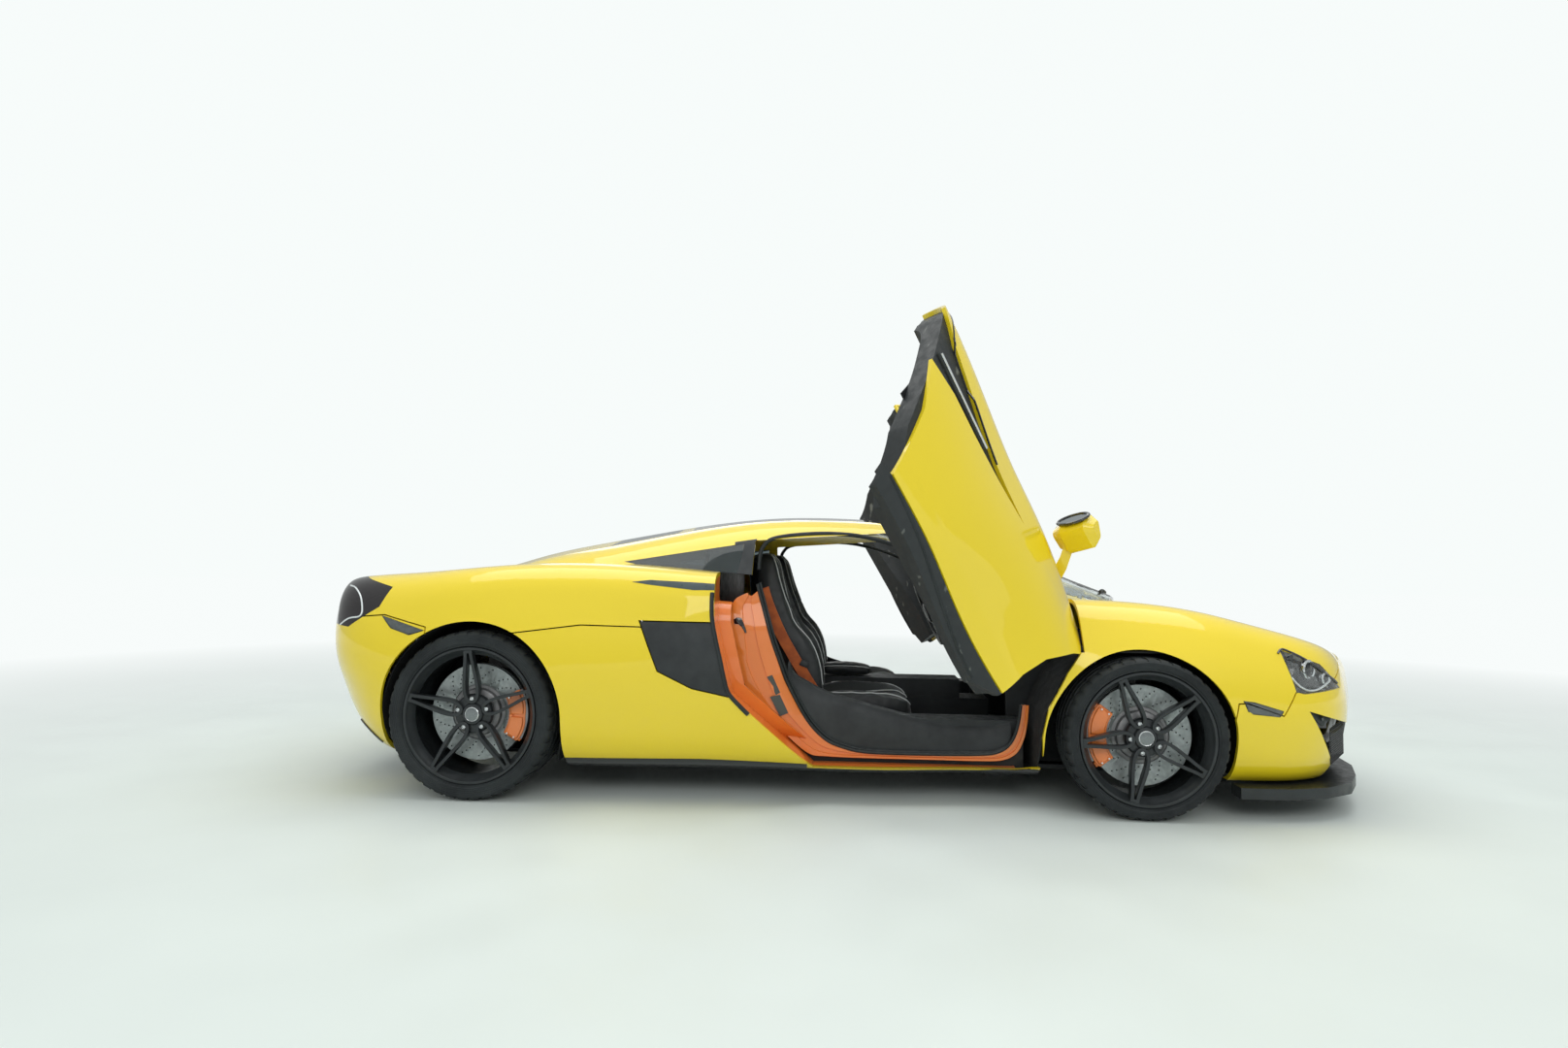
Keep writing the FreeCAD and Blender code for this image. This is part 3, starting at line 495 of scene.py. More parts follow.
def smooth_copy(node, finish):
    """A joined and smoothed copy of a CAD solid that stands for it."""
    piece = bare_copy(node)
    open_up(piece)
    if piece.data.has_custom_normals:
        bpy.ops.mesh.customdata_custom_splitnormals_clear()
    bpy.ops.mesh.remove_doubles(threshold=CAD_WELD)
    object_mode()
    dress(shaded(piece, SHELL_ANGLE), node + "_shell", finish, body_of[node])
    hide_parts(node)


# a view's outward direction and the two axes that its outlines are drawn on
VIEWS = {"side": ((0, -1, 0), 0, 2), "top": ((0, 0, 1), 0, 1), "back": ((-1, 0, 0), 1, 2)}
DOOR_AXIS = Vector((-0.424, 0.760, 0.493))
DOOR_HINGE = Vector((0.828, -0.760, 0.718))
DOOR_OPEN = radians(69)


def about_hinge(angle):
    """A turn of the right door about its leaning hinge."""
    return (Matrix.Translation(DOOR_HINGE) @ Matrix.Rotation(angle, 4, DOOR_AXIS)
            @ Matrix.Translation(-DOOR_HINGE))


SHUT, OPENED = about_hinge(-DOOR_OPEN), about_hinge(DOOR_OPEN)


def centre_of(outline):
    return [sum(p[i] for p in outline) / len(outline) for i in (0, 1)]


def convex_cut(piece, outline, a, b):
    """Trim an open skin to a convex outline, one straight cut for each side."""
    middle = centre_of(outline)
    only(piece)
    edit_mode()
    bpy.ops.mesh.select_mode(type="VERT")
    for p, q in zip(outline, outline[1:] + outline[:1]):
        across, up = q[0] - p[0], q[1] - p[1]
        if hypot(across, up) < 1e-6:
            continue
        out = (up, -across)
        if (p[0] - middle[0]) * out[0] + (p[1] - middle[1]) * out[1] < 0:
            out = (-up, across)
        place, normal = Vector((0, 0, 0)), Vector((0, 0, 0))
        place[a], place[b], normal[a], normal[b] = p[0], p[1], out[0], out[1]
        pick_all()
        bpy.ops.mesh.bisect(plane_co=place, plane_no=normal, clear_outer=True)
    object_mode()


def panel_patch(nodes, outlines, view="side", lift=0.001, thickness=0.003, lean=0.15):
    """A cover that follows the skin of panels inside outlines given in mm, lifted off it and thickened."""
    outwards, a, b = VIEWS[view]
    outwards = Vector(outwards)
    sheets = []
    for outline in outlines:
        outline = [(p[0] / 1000, p[1] / 1000) for p in outline]
        low = [min(p[i] for p in outline) - PATCH_MARGIN for i in (0, 1)]
        high = [max(p[i] for p in outline) + PATCH_MARGIN for i in (0, 1)]

        def unwanted(face):
            middle = face.center
            inside = low[0] < middle[a] < high[0] and low[1] < middle[b] < high[1]
            return (face.normal.dot(outwards) < lean or (view == "side" and middle.y > 0)
                    or not (inside or face.area > LARGE_FACE))

        for node in nodes:
            skin = bare_copy(node)
            pick_faces(skin, unwanted)
            bpy.ops.mesh.delete(type="FACE")
            bpy.ops.mesh.select_mode(type="VERT")
            weld(CAD_WELD)
            object_mode()
            convex_cut(skin, outline, a, b)
            if len(skin.data.polygons):
                sheets.append(skin)
            else:
                bpy.data.objects.remove(skin)
    patch = joined(sheets)
    open_up(patch)
    bpy.ops.mesh.remove_doubles(threshold=PATCH_WELD)
    object_mode()
    if patch.data.has_custom_normals:
        bpy.ops.mesh.customdata_custom_splitnormals_clear()
    for vertex in patch.data.vertices:
        vertex.co += vertex.normal * lift
    return modified(patch, "SOLIDIFY", thickness=thickness, offset=-1)


def skin_of(mesh, place=Matrix.Identity(4)):
    """A mesh's faces, ready to be looked up from outside."""
    return BVHTree.FromPolygons([place @ v.co for v in mesh.vertices], [p.vertices[:] for p in mesh.polygons])


trees = {}


def tree_of(node):
    """A solid's faces; those of the right door are held shut."""
    if node not in trees:
        place = SHUT if node.startswith("door_right") else Matrix.Identity(4)
        trees[node] = skin_of(frame["nodes"][node].data, place)
    return trees[node]


def skin_y(x, z, *nodes):
    """Where the right side's skin stands at a height, looking in from outside."""
    hits = [tree_of(node).ray_cast(Vector((x, -1.5, z)), Vector((0, 1, 0)))[0] for node in nodes]
    return min((hit.y for hit in hits if hit), default=None)


def rear_x(y, z, node):
    """Where a rear panel stands, looking forwards from behind."""
    place = tree_of(node).ray_cast(Vector((-3, y, z)), Vector((1, 0, 0)))[0]
    return place.x if place else None


def on_skin(points, lift, *nodes):
    """Side-view points in mm laid on the right side's outer skin."""
    places = []
    for x, z in points:
        y = skin_y(x / 1000, z / 1000, *nodes)
        if y is not None:
            places.append((x / 1000, y - lift, z / 1000))
    return places


def trim(name, points, steps, lift, nodes, radius, finish, resolution=2, finisher=None):
    """Round trim laid on the right side's skin, and its twin."""
    line = on_skin(smooth(points, steps), lift, *nodes)
    if len(line) > 3:
        (finisher or both)(strip(line, radius, resolution=resolution), name, finish)


def sheet(rows, wall=0.0, closed=False):
    """A grid whose vertices are laid on rows of points, thickened, or closed and capped."""
    deselect()
    bpy.ops.mesh.primitive_grid_add(x_subdivisions=len(rows[0]) - 1, y_subdivisions=len(rows) - 1, size=1)
    piece = bpy.context.object
    places = [place for row in rows for place in row]
    assert len(places) == len(piece.data.vertices)
    for vertex, place in zip(piece.data.vertices, places):
        vertex.co = place
    if closed:
        edit_mode()
        weld(0.0001)
        pick_all()
        bpy.ops.mesh.fill_holes(sides=0)
        face_outwards()
        object_mode()
    return modified(piece, "SOLIDIFY", thickness=wall, offset=0) if wall else piece


def between(first, second, share):
    """Points in mm part of the way from one line to another."""
    return [[p[i] * (1 - share) + q[i] * share for i in (0, 1)] for p, q in zip(first, second)]


# ---------------- body panels
PANELS = {
    yellow: ["front_fenders", "front_bumper", "rear_fenders", "side_panels", "rear_deck", "rear_bumper",
             "roof_frame", "bonnet", "door_right_skin", "door_left_skin"],
    gloss_black: ["roof"], orange: ["door_jambs"], dark_plastic: ["side_intakes"],
    wheel_black: ["splitter"], scuffed_plastic: ["door_right_frame", "door_left_frame"],
    clear_glass: ["windscreen"], tinted_glass: ["rear_window", "quarter_windows"],
}
record = frame["record"]
body_of = {node: body for body, nodes in record["behaviour"]["bodies"].items() for node in nodes}
for finish, nodes in [*PANELS.items(), (gloss_black, ["front_grille", "tail_panel"])]:
    for node in nodes:
        smooth_copy(node, finish)

# ---------------- plain CAD pieces
PLAIN = {
    dark_plastic: ["tub", "underbody", "console", "plate_holder"], liner_felt: ["arch_liners"],
    cast: ["front_frame", "rear_frame", "engine_block", "front_suspension", "rear_suspension",
           "knuckle_right", "knuckle_left"],
    carpet: ["luggage_well"], seat_hide: ["dashboard", "steering_wheel", "seats"],
    lens_glass: ["headlamps"], smoked_lens: ["tail_lamps"],
    black_glass: ["door_right_glass", "door_left_glass"],
    yellow: ["door_right_mirror", "door_left_mirror"],
}
for finish, nodes in PLAIN.items():
    for node in nodes:
        materials = frame["nodes"][node].data.materials
        materials.clear()
        materials.append(finish)


# ---------------- wheels
WHEEL_STEPS = 120
FRONT_RIM = 0.258
CAP_BACK = 0.002          # hub cap in front of the hub face
SPOKES = 5
SPOKE_BAR = 0.0125
SPOKE_DEPTH = 0.026
HUB_BACK = 0.034          # hub face behind the rim's lip
DISC_RADIUS = 0.197
DISC_START = 0.108        # disc's outer face behind the wheel's outer side
DISC_THICKNESS = 0.034
WHEEL_BACK = 0.006        # lip behind the tyre's side


def wheel_face(width):
    """The lip's outer side, from the wheel's middle."""
    return -width / 2 + WHEEL_BACK


def disc_face(width):
    return -width / 2 + DISC_START


def hub_level(rim, width):
    return wheel_face(width) + HUB_BACK * rim / FRONT_RIM


def on_circle(radius, angle, y):
    """A place in the wheel, its angle in degrees from the top towards the nose."""
    return (radius * sin(radians(angle)), y, radius * cos(radians(angle)))


def tyre_ring(radius, width, rim):
    """Tyre with bead, ribbed sidewall, rounded shoulder and four grooves, centred on the origin."""
    half = width / 2
    side = [(rim + 0.0006, 0.016), (rim + 0.002, 0.010), (rim + 0.0055, 0.0065), (rim + 0.009, 0.007),
            (rim + 0.011, 0.0035), (rim + 0.013, 0.0015)]
    ribs = 5
    low, high = rim + 0.015, radius - 0.020
    for i in range(ribs):
        r = low + (high - low) * i / (ribs - 1)
        side += [(r, 0.0006), (r + 0.0012, 0.0017), (r + 0.0026, 0.0006)]
    side += [(radius - 0.0135, 0.004), (radius - 0.0085, 0.0085), (radius - 0.005, 0.014),
             (radius - 0.0025, 0.022)]
    tread = []
    for groove in (-0.62, -0.22, 0.22, 0.62):
        middle = groove * (half - 0.02)
        crown = radius - 0.0022 * groove * groove
        tread += [(middle - 0.006, crown), (middle - 0.0045, crown - 0.006), (middle + 0.0045, crown - 0.006),
                  (middle + 0.006, crown)]
    profile = [(-half + inset, r) for r, inset in side] + tread
    profile += [(half - inset, r) for r, inset in reversed(side)]
    profile += [(half - 0.03, rim + 0.004), (-half + 0.03, rim + 0.004)]
    return turned_ring(profile, WHEEL_STEPS)


def press_blocks(piece, radius, width):
    """Cross grooves cut into the shoulder blocks, slanting as the tread does."""
    def block_gap(face):
        middle = face.center
        out = hypot(middle.x, middle.z)
        step = int(round((atan2(middle.z, middle.x) + pi) / (2 * pi) * WHEEL_STEPS - 0.5))
        across = abs(middle.y) / (width / 2)
        shoulder = across > 0.64 and out > radius - 0.013
        centre = 0.27 < across < 0.5 and out > radius - 0.004
        return (shoulder and step % 3 == 0) or (centre and step % 5 == 0)

    pick_faces(piece, block_gap)
    bpy.ops.mesh.extrude_region_shrink_fatten(TRANSFORM_OT_shrink_fatten={"value": -0.0038})
    object_mode()


def rim_ring(rim, width):
    face, back = wheel_face(width), width / 2 - 0.008
    lip = ((1.5, 0.6), (0, 2), (0, 10.5), (3.5, 13.5), (10, 15), (15, 20), (26, 24), (36, 33), (42, 34),
           (46, 31.5), (110, 30))
    rear = ((-30, 27), (-10, 16), (0, 13), (0, 2), (-4, 0.6), (-16, 1.2), (-22, 9))
    barrel = ((26, 9), (14, 1.2))
    return turned_ring([(start + across / 1000, rim - down / 1000)
                        for start, part in ((face, lip), (back, rear), (face, barrel))
                        for across, down in part], WHEEL_STEPS)


def spoke(rim, width, degrees):
    """A twin spoke: a long drop, round at the hub, its two arms leaning out to the rim."""
    size = rim / FRONT_RIM
    reach = rim - 0.0125
    hub = 0.040 * size
    half = smooth([(hub, 0.0), (hub + 0.0035, 0.0125), (0.054 * size, 0.0235), (0.074 * size, 0.0318),
                   (0.104 * size, 0.0335), (0.145 * size, 0.0292), (reach - 0.045, 0.0205),
                   (reach - 0.014, 0.0172), (reach, 0.0185)], 4)
    points = [(w, 0, r) for r, w in half] + [(-w, 0, r) for r, w in reversed(half[1:])]
    piece = filled(points)
    bpy.ops.mesh.select_mode(type="FACE")
    pick_all()
    bpy.ops.mesh.inset(thickness=SPOKE_BAR, depth=0)
    bpy.ops.mesh.delete(type="FACE")
    pick_all()
    bpy.ops.mesh.extrude_region_move(TRANSFORM_OT_translate={"value": (0, SPOKE_DEPTH, 0)})
    object_mode()
    for vertex in piece.data.vertices:
        r = hypot(vertex.co.x, vertex.co.z)
        along = min(1.0, max(0.0, (r - hub) / (reach - hub)))
        back = vertex.co.y > SPOKE_DEPTH / 2
        vertex.co.y += wheel_face(width) + 0.0035 + (HUB_BACK - 0.004) * size * (1 - along) ** 1.15
        if back:
            vertex.co.y += 0.012 * (1 - abs(2 * along - 1))
    return turned(soften(piece, 0.0032, 2, 40), radians(degrees))


def hub_star(rim, width):
    """Hub between the spokes: a dished disc with a raised seat for the cap."""
    size = rim / FRONT_RIM
    return turned_mm(hub_level(rim, width),
                     [(-2, 0), (-2, 30), (-0.5, 34), (0.5, 40), (9, 46), (12, 70 * size), (22, 76 * size),
                      (52, 72), (52, 0)], 80, capped=True)


def wheel_bolts(rim, width, degrees):
    level = hub_level(rim, width)
    bolts = []
    for i in range(SPOKES):
        bolt = rod(0.0085, 0.016, 24, (0, level + 0.006, 0.0585 * rim / FRONT_RIM))
        pick_faces(bolt, lambda side: side.normal.y < -0.9)
        bpy.ops.mesh.inset(thickness=0.0016)
        bpy.ops.mesh.inset(thickness=0.0018)
        bpy.ops.transform.translate(value=(0, 0.006, 0))
        object_mode()
        bolts.append(turned(soften(bolt, 0.0006, 1, 50), radians(degrees + i * 360 / SPOKES)))
    return joined(bolts)


def hub_cap(rim, width):
    level = hub_level(rim, width) - CAP_BACK
    cap_face = turned_mm(level, [(-5.5, 0), (-5.2, 12), (-4.2, 23.5), (-3.5, 25.5), (2, 25.5), (2, 0)], 64,
                         capped=True)
    return cap_face, turned_mm(level, [(-4.4, 25.8), (-5, 27.5), (-3.5, 29.5), (1, 30), (2, 25.8)], 64)


def brake_disc(width):
    """Cross-drilled disc with its air gap and vanes showing at the edge."""
    start = disc_face(width)
    cheek = 0.010
    faces = []
    for near, far in ((start, start + cheek), (start + DISC_THICKNESS - cheek, start + DISC_THICKNESS)):
        faces.append(turned_ring([(near + 0.001, 0.112), (near, 0.1135), (near, DISC_RADIUS - 0.001),
                                  (near + 0.001, DISC_RADIUS), (far - 0.001, DISC_RADIUS),
                                  (far, DISC_RADIUS - 0.001), (far, 0.1135), (far - 0.001, 0.112)], 96))
    rows = ((0.124, 0.0), (0.138, 3.4), (0.152, 6.6), (0.166, 9.8), (0.180, 13.2))
    drill = joined([rod(0.0032, cheek * 3, 10,
                        on_circle(r, i * 20 + lead * 1.35 + (10 if i % 2 else 0) * 0.35, start + cheek / 2))
                    for i in range(18) for r, lead in rows])
    modified(faces[0], "BOOLEAN", object=drill, operation="DIFFERENCE", solver="EXACT")
    bpy.data.objects.remove(drill)
    vanes = []
    for i in range(36):
        deselect()
        bpy.ops.mesh.primitive_cube_add(size=1, location=(0, start + DISC_THICKNESS / 2, 0.155))
        vane = bpy.context.object
        vane.scale = (0.0055, DISC_THICKNESS - 2 * cheek, 0.078)
        settle()
        turned(vane, radians(14), (0, 0, 0.155))
        vanes.append(turned(vane, radians(i * 10)))
    return joined(faces + vanes)


def disc_bell(width):
    return turned_mm(disc_face(width), [(-16, 55), (-16, 88), (-12, 94), (4, 98), (6, 113), (14, 116),
                                        (26, 112), (26, 55)], 72)


def sector(inner, outer, start, end, steps=14, wave=None):
    """Outline of an arc-shaped block in the wheel's plane, in degrees from the top towards the nose."""
    angles = [radians(start + (end - start) * i / steps) for i in range(steps + 1)]
    edge = []
    for i, a in enumerate(angles):
        r = outer + (wave(i / steps) if wave else 0)
        edge.append((r * sin(a), 0, r * cos(a)))
    return edge + [(inner * sin(a), 0, inner * cos(a)) for a in reversed(angles)]


def caliper(width, middle, length):
    """Six-pot caliper: a bridge over the disc, two lobed covers, and bolts."""
    start = disc_face(width)
    a, b = middle - length / 2, middle + length / 2

    def lobes(t):
        return 0.004 * abs(sin(t * pi * 2)) - 0.006 * (abs(2 * t - 1) > 0.93)

    def block(inner, outer, ends, steps, thick, y, edge, segments, wave=None):
        outline = sector(inner, outer, *ends, steps, wave)
        return soften(moved(plate(outline, (0, thick, 0)), (0, y, 0)), edge, segments, 40)

    parts = [block(0.140, DISC_RADIUS + 0.012, (a, b), 20, 0.030, start - 0.033, 0.0045, 3, lobes)]
    for ends in ((a + 2.5, middle - 1.5), (middle + 1.5, b - 2.5)):
        parts.append(block(0.148, DISC_RADIUS + 0.004, ends, 12, 0.012, start - 0.0405, 0.0055, 4,
                           lambda t: 0.003 * sin(t * pi)))
    for ends in ((a + 1.5, a + 7), (middle - 2.5, middle + 2.5), (b - 7, b - 1.5)):
        parts.append(block(DISC_RADIUS + 0.003, DISC_RADIUS + 0.0195, ends, 4, 0.090, start - 0.028, 0.004,
                           3))
    parts.append(block(0.140, DISC_RADIUS + 0.012, (a, b), 20, 0.026, start + DISC_THICKNESS + 0.004, 0.0045,
                       3, lobes))
    for angle, r in ((a + 4, 0.190), (b - 4, 0.190), (middle, 0.152), (a + 4, 0.158), (b - 4, 0.158)):
        parts.append(soften(rod(0.0062, 0.014, 16, on_circle(r, angle, start - 0.037)), 0.0012, 2, 40))
    return joined(parts)


def caliper_screws(width, middle, length):
    a, b = middle - length / 2 + 4, middle + length / 2 - 4
    return joined([rod(0.0036, 0.003, 6, on_circle(r, angle, disc_face(width) - 0.0445))
                   for r in (0.190, 0.158) for angle in (a, b)])


def carried_by(name, end, side):
    if not name.startswith("caliper"):
        return f"wheel_{end}_{side}"
    return "knuckle_" + side if end == "front" else "body"


def fit_to_wheel(piece, end, place, name, finish, replaced=None):
    """Put a piece made about the origin into its wheel, and its twin into the left one."""
    done(moved(piece, place), 34)
    bodies = [carried_by(name, end, side) for side in ("right", "left")]
    for twin, side in zip(pair(piece, f"{name}_{end}", finish, None, *bodies), ("right", "left")):
        if replaced:
            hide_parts(f"{replaced}_{end}_{side}")


# place, tyre radius, width, rim radius, turn of the spokes, middle and span of the caliper in degrees
WHEEL_SETS = (("front", (FRONT_AXLE[0], -0.8365, FRONT_AXLE[1]), 0.310, 0.225, FRONT_RIM, -23, -90, 74),
              ("rear", (REAR_AXLE[0], -0.809, REAR_AXLE[1]), 0.340, 0.285, 0.274, -3, 92, 62))
for end, place, radius, width, rim, turn, brake, span in WHEEL_SETS:
    tyre = tyre_ring(radius, width, rim)
    press_blocks(tyre, radius, width)
    fit_to_wheel(tyre, end, place, "tyre_tread", tyre_rubber, "tyre")
    metal = [rim_ring(rim, width), hub_star(rim, width)]
    metal += [spoke(rim, width, turn + i * 360 / SPOKES) for i in range(SPOKES)]
    fit_to_wheel(joined(metal), end, place, "twin_spoke_wheel", wheel_black, "wheel")
    fit_to_wheel(wheel_bolts(rim, width, turn), end, place, "wheel_bolts", bright_metal)
    cap_face, cap_ring = hub_cap(rim, width)
    fit_to_wheel(cap_face, end, place, "hub_cap", hub_grey)
    fit_to_wheel(cap_ring, end, place, "hub_cap_ring", bright_metal)
    fit_to_wheel(brake_disc(width), end, place, "drilled_disc", disc_iron)
    fit_to_wheel(disc_bell(width), end, place, "disc_bell", cast)
    fit_to_wheel(caliper(width, brake, span), end, place, "caliper", caliper_orange)
    fit_to_wheel(caliper_screws(width, brake, span), end, place, "caliper_screws", bright_metal)


# ---------------- markers, strips and vents on the body
MARKER_FRONT = [(1518, 464), (1560, 458), (1664, 429), (1648, 408), (1559, 418), (1537, 426)]
MARKER_REAR = [(-1887, 732), (-1849, 722), (-1699, 679), (-1762, 662), (-1837, 686)]


def grown(outline, by):
    """A convex outline pushed outwards from its middle."""
    middle = centre_of(outline)
    bigger = []
    for p in outline:
        d = (p[0] - middle[0], p[1] - middle[1])
        length = hypot(*d)
        bigger.append((p[0] + d[0] / length * by, p[1] + d[1] / length * by))
    return bigger


for name, nodes, outline, margin in (
        ("front_marker", ["front_fenders", "front_bumper"], MARKER_FRONT, 5),
        ("rear_marker", ["rear_fenders", "rear_bumper"], MARKER_REAR, 6)):
    both(panel_patch(nodes, [grown(outline, margin)], lift=0.0006), name + "_seat", rubber_seal)
    both(panel_patch(nodes, [outline], lift=0.0022), name, marker_lens)

BUTTRESS_SLOT = [
    (-862, 884), (-790, 893), (-620, 886), (-470, 878), (-458, 862), (-500, 856), (-610, 856), (-766, 872)
]
SILL_BAND = [[(-1145, 60), (-145, 60), (-145, 162), (-579, 173), (-1145, 170)],
             [(-145, 60), (905, 60), (905, 186), (690, 158), (-145, 162)]]
B_PILLAR = [(-474, 872), (-474, 1058), (-380, 1072), (-380, 845)]
both(panel_patch(["rear_fenders"], [BUTTRESS_SLOT], lift=0.0012), "buttress_slot", duct_grey)
both(panel_patch(["side_panels"], SILL_BAND, lift=0.0012), "sill_band", gloss_black)
both(panel_patch(["roof_frame", "rear_fenders"], [B_PILLAR], lift=0.0012), "pillar_cover", dark_plastic,
     "gloss_black")

# ---------------- head lamps
LAMP_AREA = [(1600, 400), (1600, 700), (2000, 700), (2000, 400)]
both(panel_patch(["headlamps"], [LAMP_AREA], lift=-0.022, thickness=0.004, lean=0.02), "lamp_bowl",
     gloss_black)
lens, _ = both(panel_patch(["headlamps"], [LAMP_AREA], lift=0.0, thickness=0.0025, lean=0.02), "lamp_lens",
               lens_glass)
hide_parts("headlamps")


# ---------------- door opening
def jamb_depth(x, z):
    """How far out the jamb's face stands: behind the shut door's inner face all the way round."""
    rearwards = min(1.0, max(0.0, (-0.18 - x) / 0.12))
    below_latch = min(1.0, max(0.0, (0.80 - z) / 0.10))
    return -0.734 - 0.026 * rearwards * below_latch


def jamb_row(points, inwards):
    return [(x / 1000, jamb_depth(x / 1000, z / 1000) + inwards, z / 1000) for x, z in smooth(points, 5)]


JAMB_OUTER = [
    (-405, 842), (-440, 826), (-461, 809), (-484, 760), (-489, 713), (-480, 655), (-465, 610), (-373, 392),
    (-262, 285), (-150, 187), (-60, 173), (110, 170), (356, 170), (560, 170), (650, 176), (706, 205),
    (736, 262), (750, 330), (756, 400)
]
JAMB_GROOVE = [
    (-402, 834), (-420, 800), (-428, 775), (-424, 745), (-418, 690), (-408, 610), (-398, 537), (-345, 430),
    (-262, 322), (-150, 216), (-60, 182), (110, 177), (356, 176), (560, 177), (645, 184), (698, 212),
    (727, 266), (741, 331), (747, 400)
]
JAMB_MIDDLE = [
    (-388, 830), (-390, 800), (-385, 770), (-378, 740), (-368, 680), (-352, 610), (-330, 537), (-288, 430),
    (-215, 330), (-125, 240), (-50, 202), (108, 184), (356, 182), (560, 185), (638, 193), (689, 221),
    (717, 272), (731, 333), (738, 400)
]
JAMB_INNER = [
    (-365, 850), (-352, 810), (-342, 775), (-331, 735), (-318, 686), (-296, 620), (-271, 548), (-241, 468),
    (-175, 352), (-95, 256), (-40, 221), (106, 193), (356, 190), (560, 194), (630, 203), (678, 231),
    (706, 279), (721, 336), (729, 400)
]
jamb = sheet([jamb_row(outline, inwards) for outline, inwards in (
    (JAMB_OUTER, 0.004), (JAMB_OUTER, 0.0), (JAMB_GROOVE, 0.0), (JAMB_GROOVE, 0.007), (JAMB_MIDDLE, 0.007),
    (JAMB_MIDDLE, 0.0), (JAMB_INNER, 0.0), (JAMB_INNER, 0.010))], wall=0.003)
both(soften(jamb, 0.001, 1, 40), "jamb_pressing", orange, angle=40)

OUTER_SEAL = [
    (-530, 845), (-529, 790), (-524, 728), (-506, 650), (-488, 580), (-460, 462), (-420, 412), (-377, 368)
]
trim("body_seal", OUTER_SEAL, 4, -0.001, ["rear_fenders", "side_intakes", "side_panels"], 0.009, rubber_seal,
     3)

INNER_SIDE = [
    (-366, 880), (-350, 820), (-320, 720), (-296, 640), (-262, 548), (-225, 456), (-153, 325), (-78, 246),
    (-4, 213), (106, 193), (360, 192), (560, 197), (628, 207), (674, 235), (701, 282), (716, 338),
    (724, 400)
]
for name, offset in (("inner_seal", 0.0), ("second_seal", 0.012)):
    row = [(x / 1000 + offset * 0.8, jamb_depth(x / 1000, z / 1000) - 0.003 + offset, z / 1000 + offset * 0.5)
           for x, z in smooth(INNER_SIDE, 4)]
    both(strip(row, 0.0065), name, rubber_seal)

LATCH = [
    (-461, 733), (-446, 741), (-428, 738), (-420, 722), (-408, 690), (-405, 677), (-413, 676), (-426, 700),
    (-440, 712), (-458, 713)
]
latch = plate([(x / 1000, jamb_depth(-0.43, 0.715) - 0.001, z / 1000) for x, z in LATCH], (0, -0.005, 0))
both(soften(latch, 0.002), "latch_striker", gloss_black, "dark_plastic")
LABELS = [[(-318, 497), (-296, 505), (-262, 432), (-280, 421)],
          [(-304, 415), (-264, 424), (-228, 348), (-263, 335)]]
for number, outline in enumerate(LABELS, 1):
    places = [(x / 1000, jamb_depth(x / 1000, z / 1000) - 0.0005, z / 1000) for x, z in outline]
    both(soften(plate(places, (0, -0.0012, 0)), 0.0004, 1), f"blank_label_{number}", blank_label)

# sill trim: a smooth black moulding that hangs from the tub's edge
SILL_TOP = [
    (-232, 560), (-205, 505), (-150, 472), (-83, 437), (0, 412), (71, 394), (178, 366), (280, 342),
    (374, 322), (480, 312), (590, 310), (690, 330)
]
SILL_LOW = [
    (-240, 455), (-185, 372), (-128, 298), (-78, 247), (-4, 219), (60, 203), (130, 195), (250, 192),
    (374, 190), (480, 190), (590, 196), (690, 232)
]
top, low = smooth(SILL_TOP, 4), smooth(SILL_LOW, 4)
rows = [[(x / 1000, -depth, z / 1000) for x, z in between(top, low, share)] for share, depth in
        ((0.0, 0.670), (0.0, 0.690), (0.12, 0.709), (0.4, 0.716), (0.75, 0.720), (1.0, 0.722))]
both(rounded(sheet(rows, wall=0.004)), "sill_trim", dark_plastic, angle=50)

# head seal along the edge of the cabin roof; it leans inwards below ROOF_EDGE
ROOF_SEAL = [
    (-367, 940), (-365, 997), (-350, 1042), (-299, 1078), (-125, 1098), (63, 1090), (243, 1044), (325, 1008)
]
ROOF_EDGE = 1030
row = [(x / 1000, -0.640 - 0.0003 * max(0, ROOF_EDGE - z), z / 1000) for x, z in smooth(ROOF_SEAL, 4)]
both(strip(row, 0.009), "roof_seal", rubber_seal)


# ---------------- lamp inner parts and the nose
def facing(piece, place, azimuth, tilt=0.0):
    """Turn a piece made about the Y axis so that its -Y end looks outwards, and put it in place."""
    piece.data.transform(Matrix.Translation(place) @ Matrix.Rotation(radians(azimuth), 4, "Z")
                         @ Matrix.Rotation(radians(tilt), 4, "X"))
    return piece


for name, x, z, size in (("projector", 1.792, 0.580, 0.034), ("side_projector", 1.862, 0.545, 0.022)):
    place = Vector((x, skin_y(x, z, "headlamps") + 0.020, z))
    barrel = turned_ring([(0.002, size + 0.004), (-0.010, size + 0.005), (-0.014, size),
                          (-0.012, size - 0.006), (0.002, size - 0.008)], 40)
    dome = turned_ring([(0.0, 0.0001), (0.0, size - 0.005), (-0.005, size - 0.007), (-0.011, size * 0.55),
                        (-0.014, 0.0001)], 40, capped=True)
    for piece, part, finish in ((barrel, "_ring", bright_metal), (dome, "_lens", black_glass)):
        both(facing(piece, place, 34), name + part, finish, "glass")

LIGHT_LINE = [(1706, 566), (1742, 520), (1790, 503), (1845, 516), (1892, 540)]
SURROUND = [
    (1679, 641), (1699, 657), (1726, 649), (1771, 628), (1816, 601), (1861, 569), (1906, 542), (1926, 526)
]
trim("day_light", LIGHT_LINE, 3, -0.009, ["headlamps"], 0.004, light_guide, 3)
trim("lamp_surround", SURROUND, 3, 0.0015, ["headlamps", "front_fenders", "front_bumper"], 0.0045,
     gloss_black)


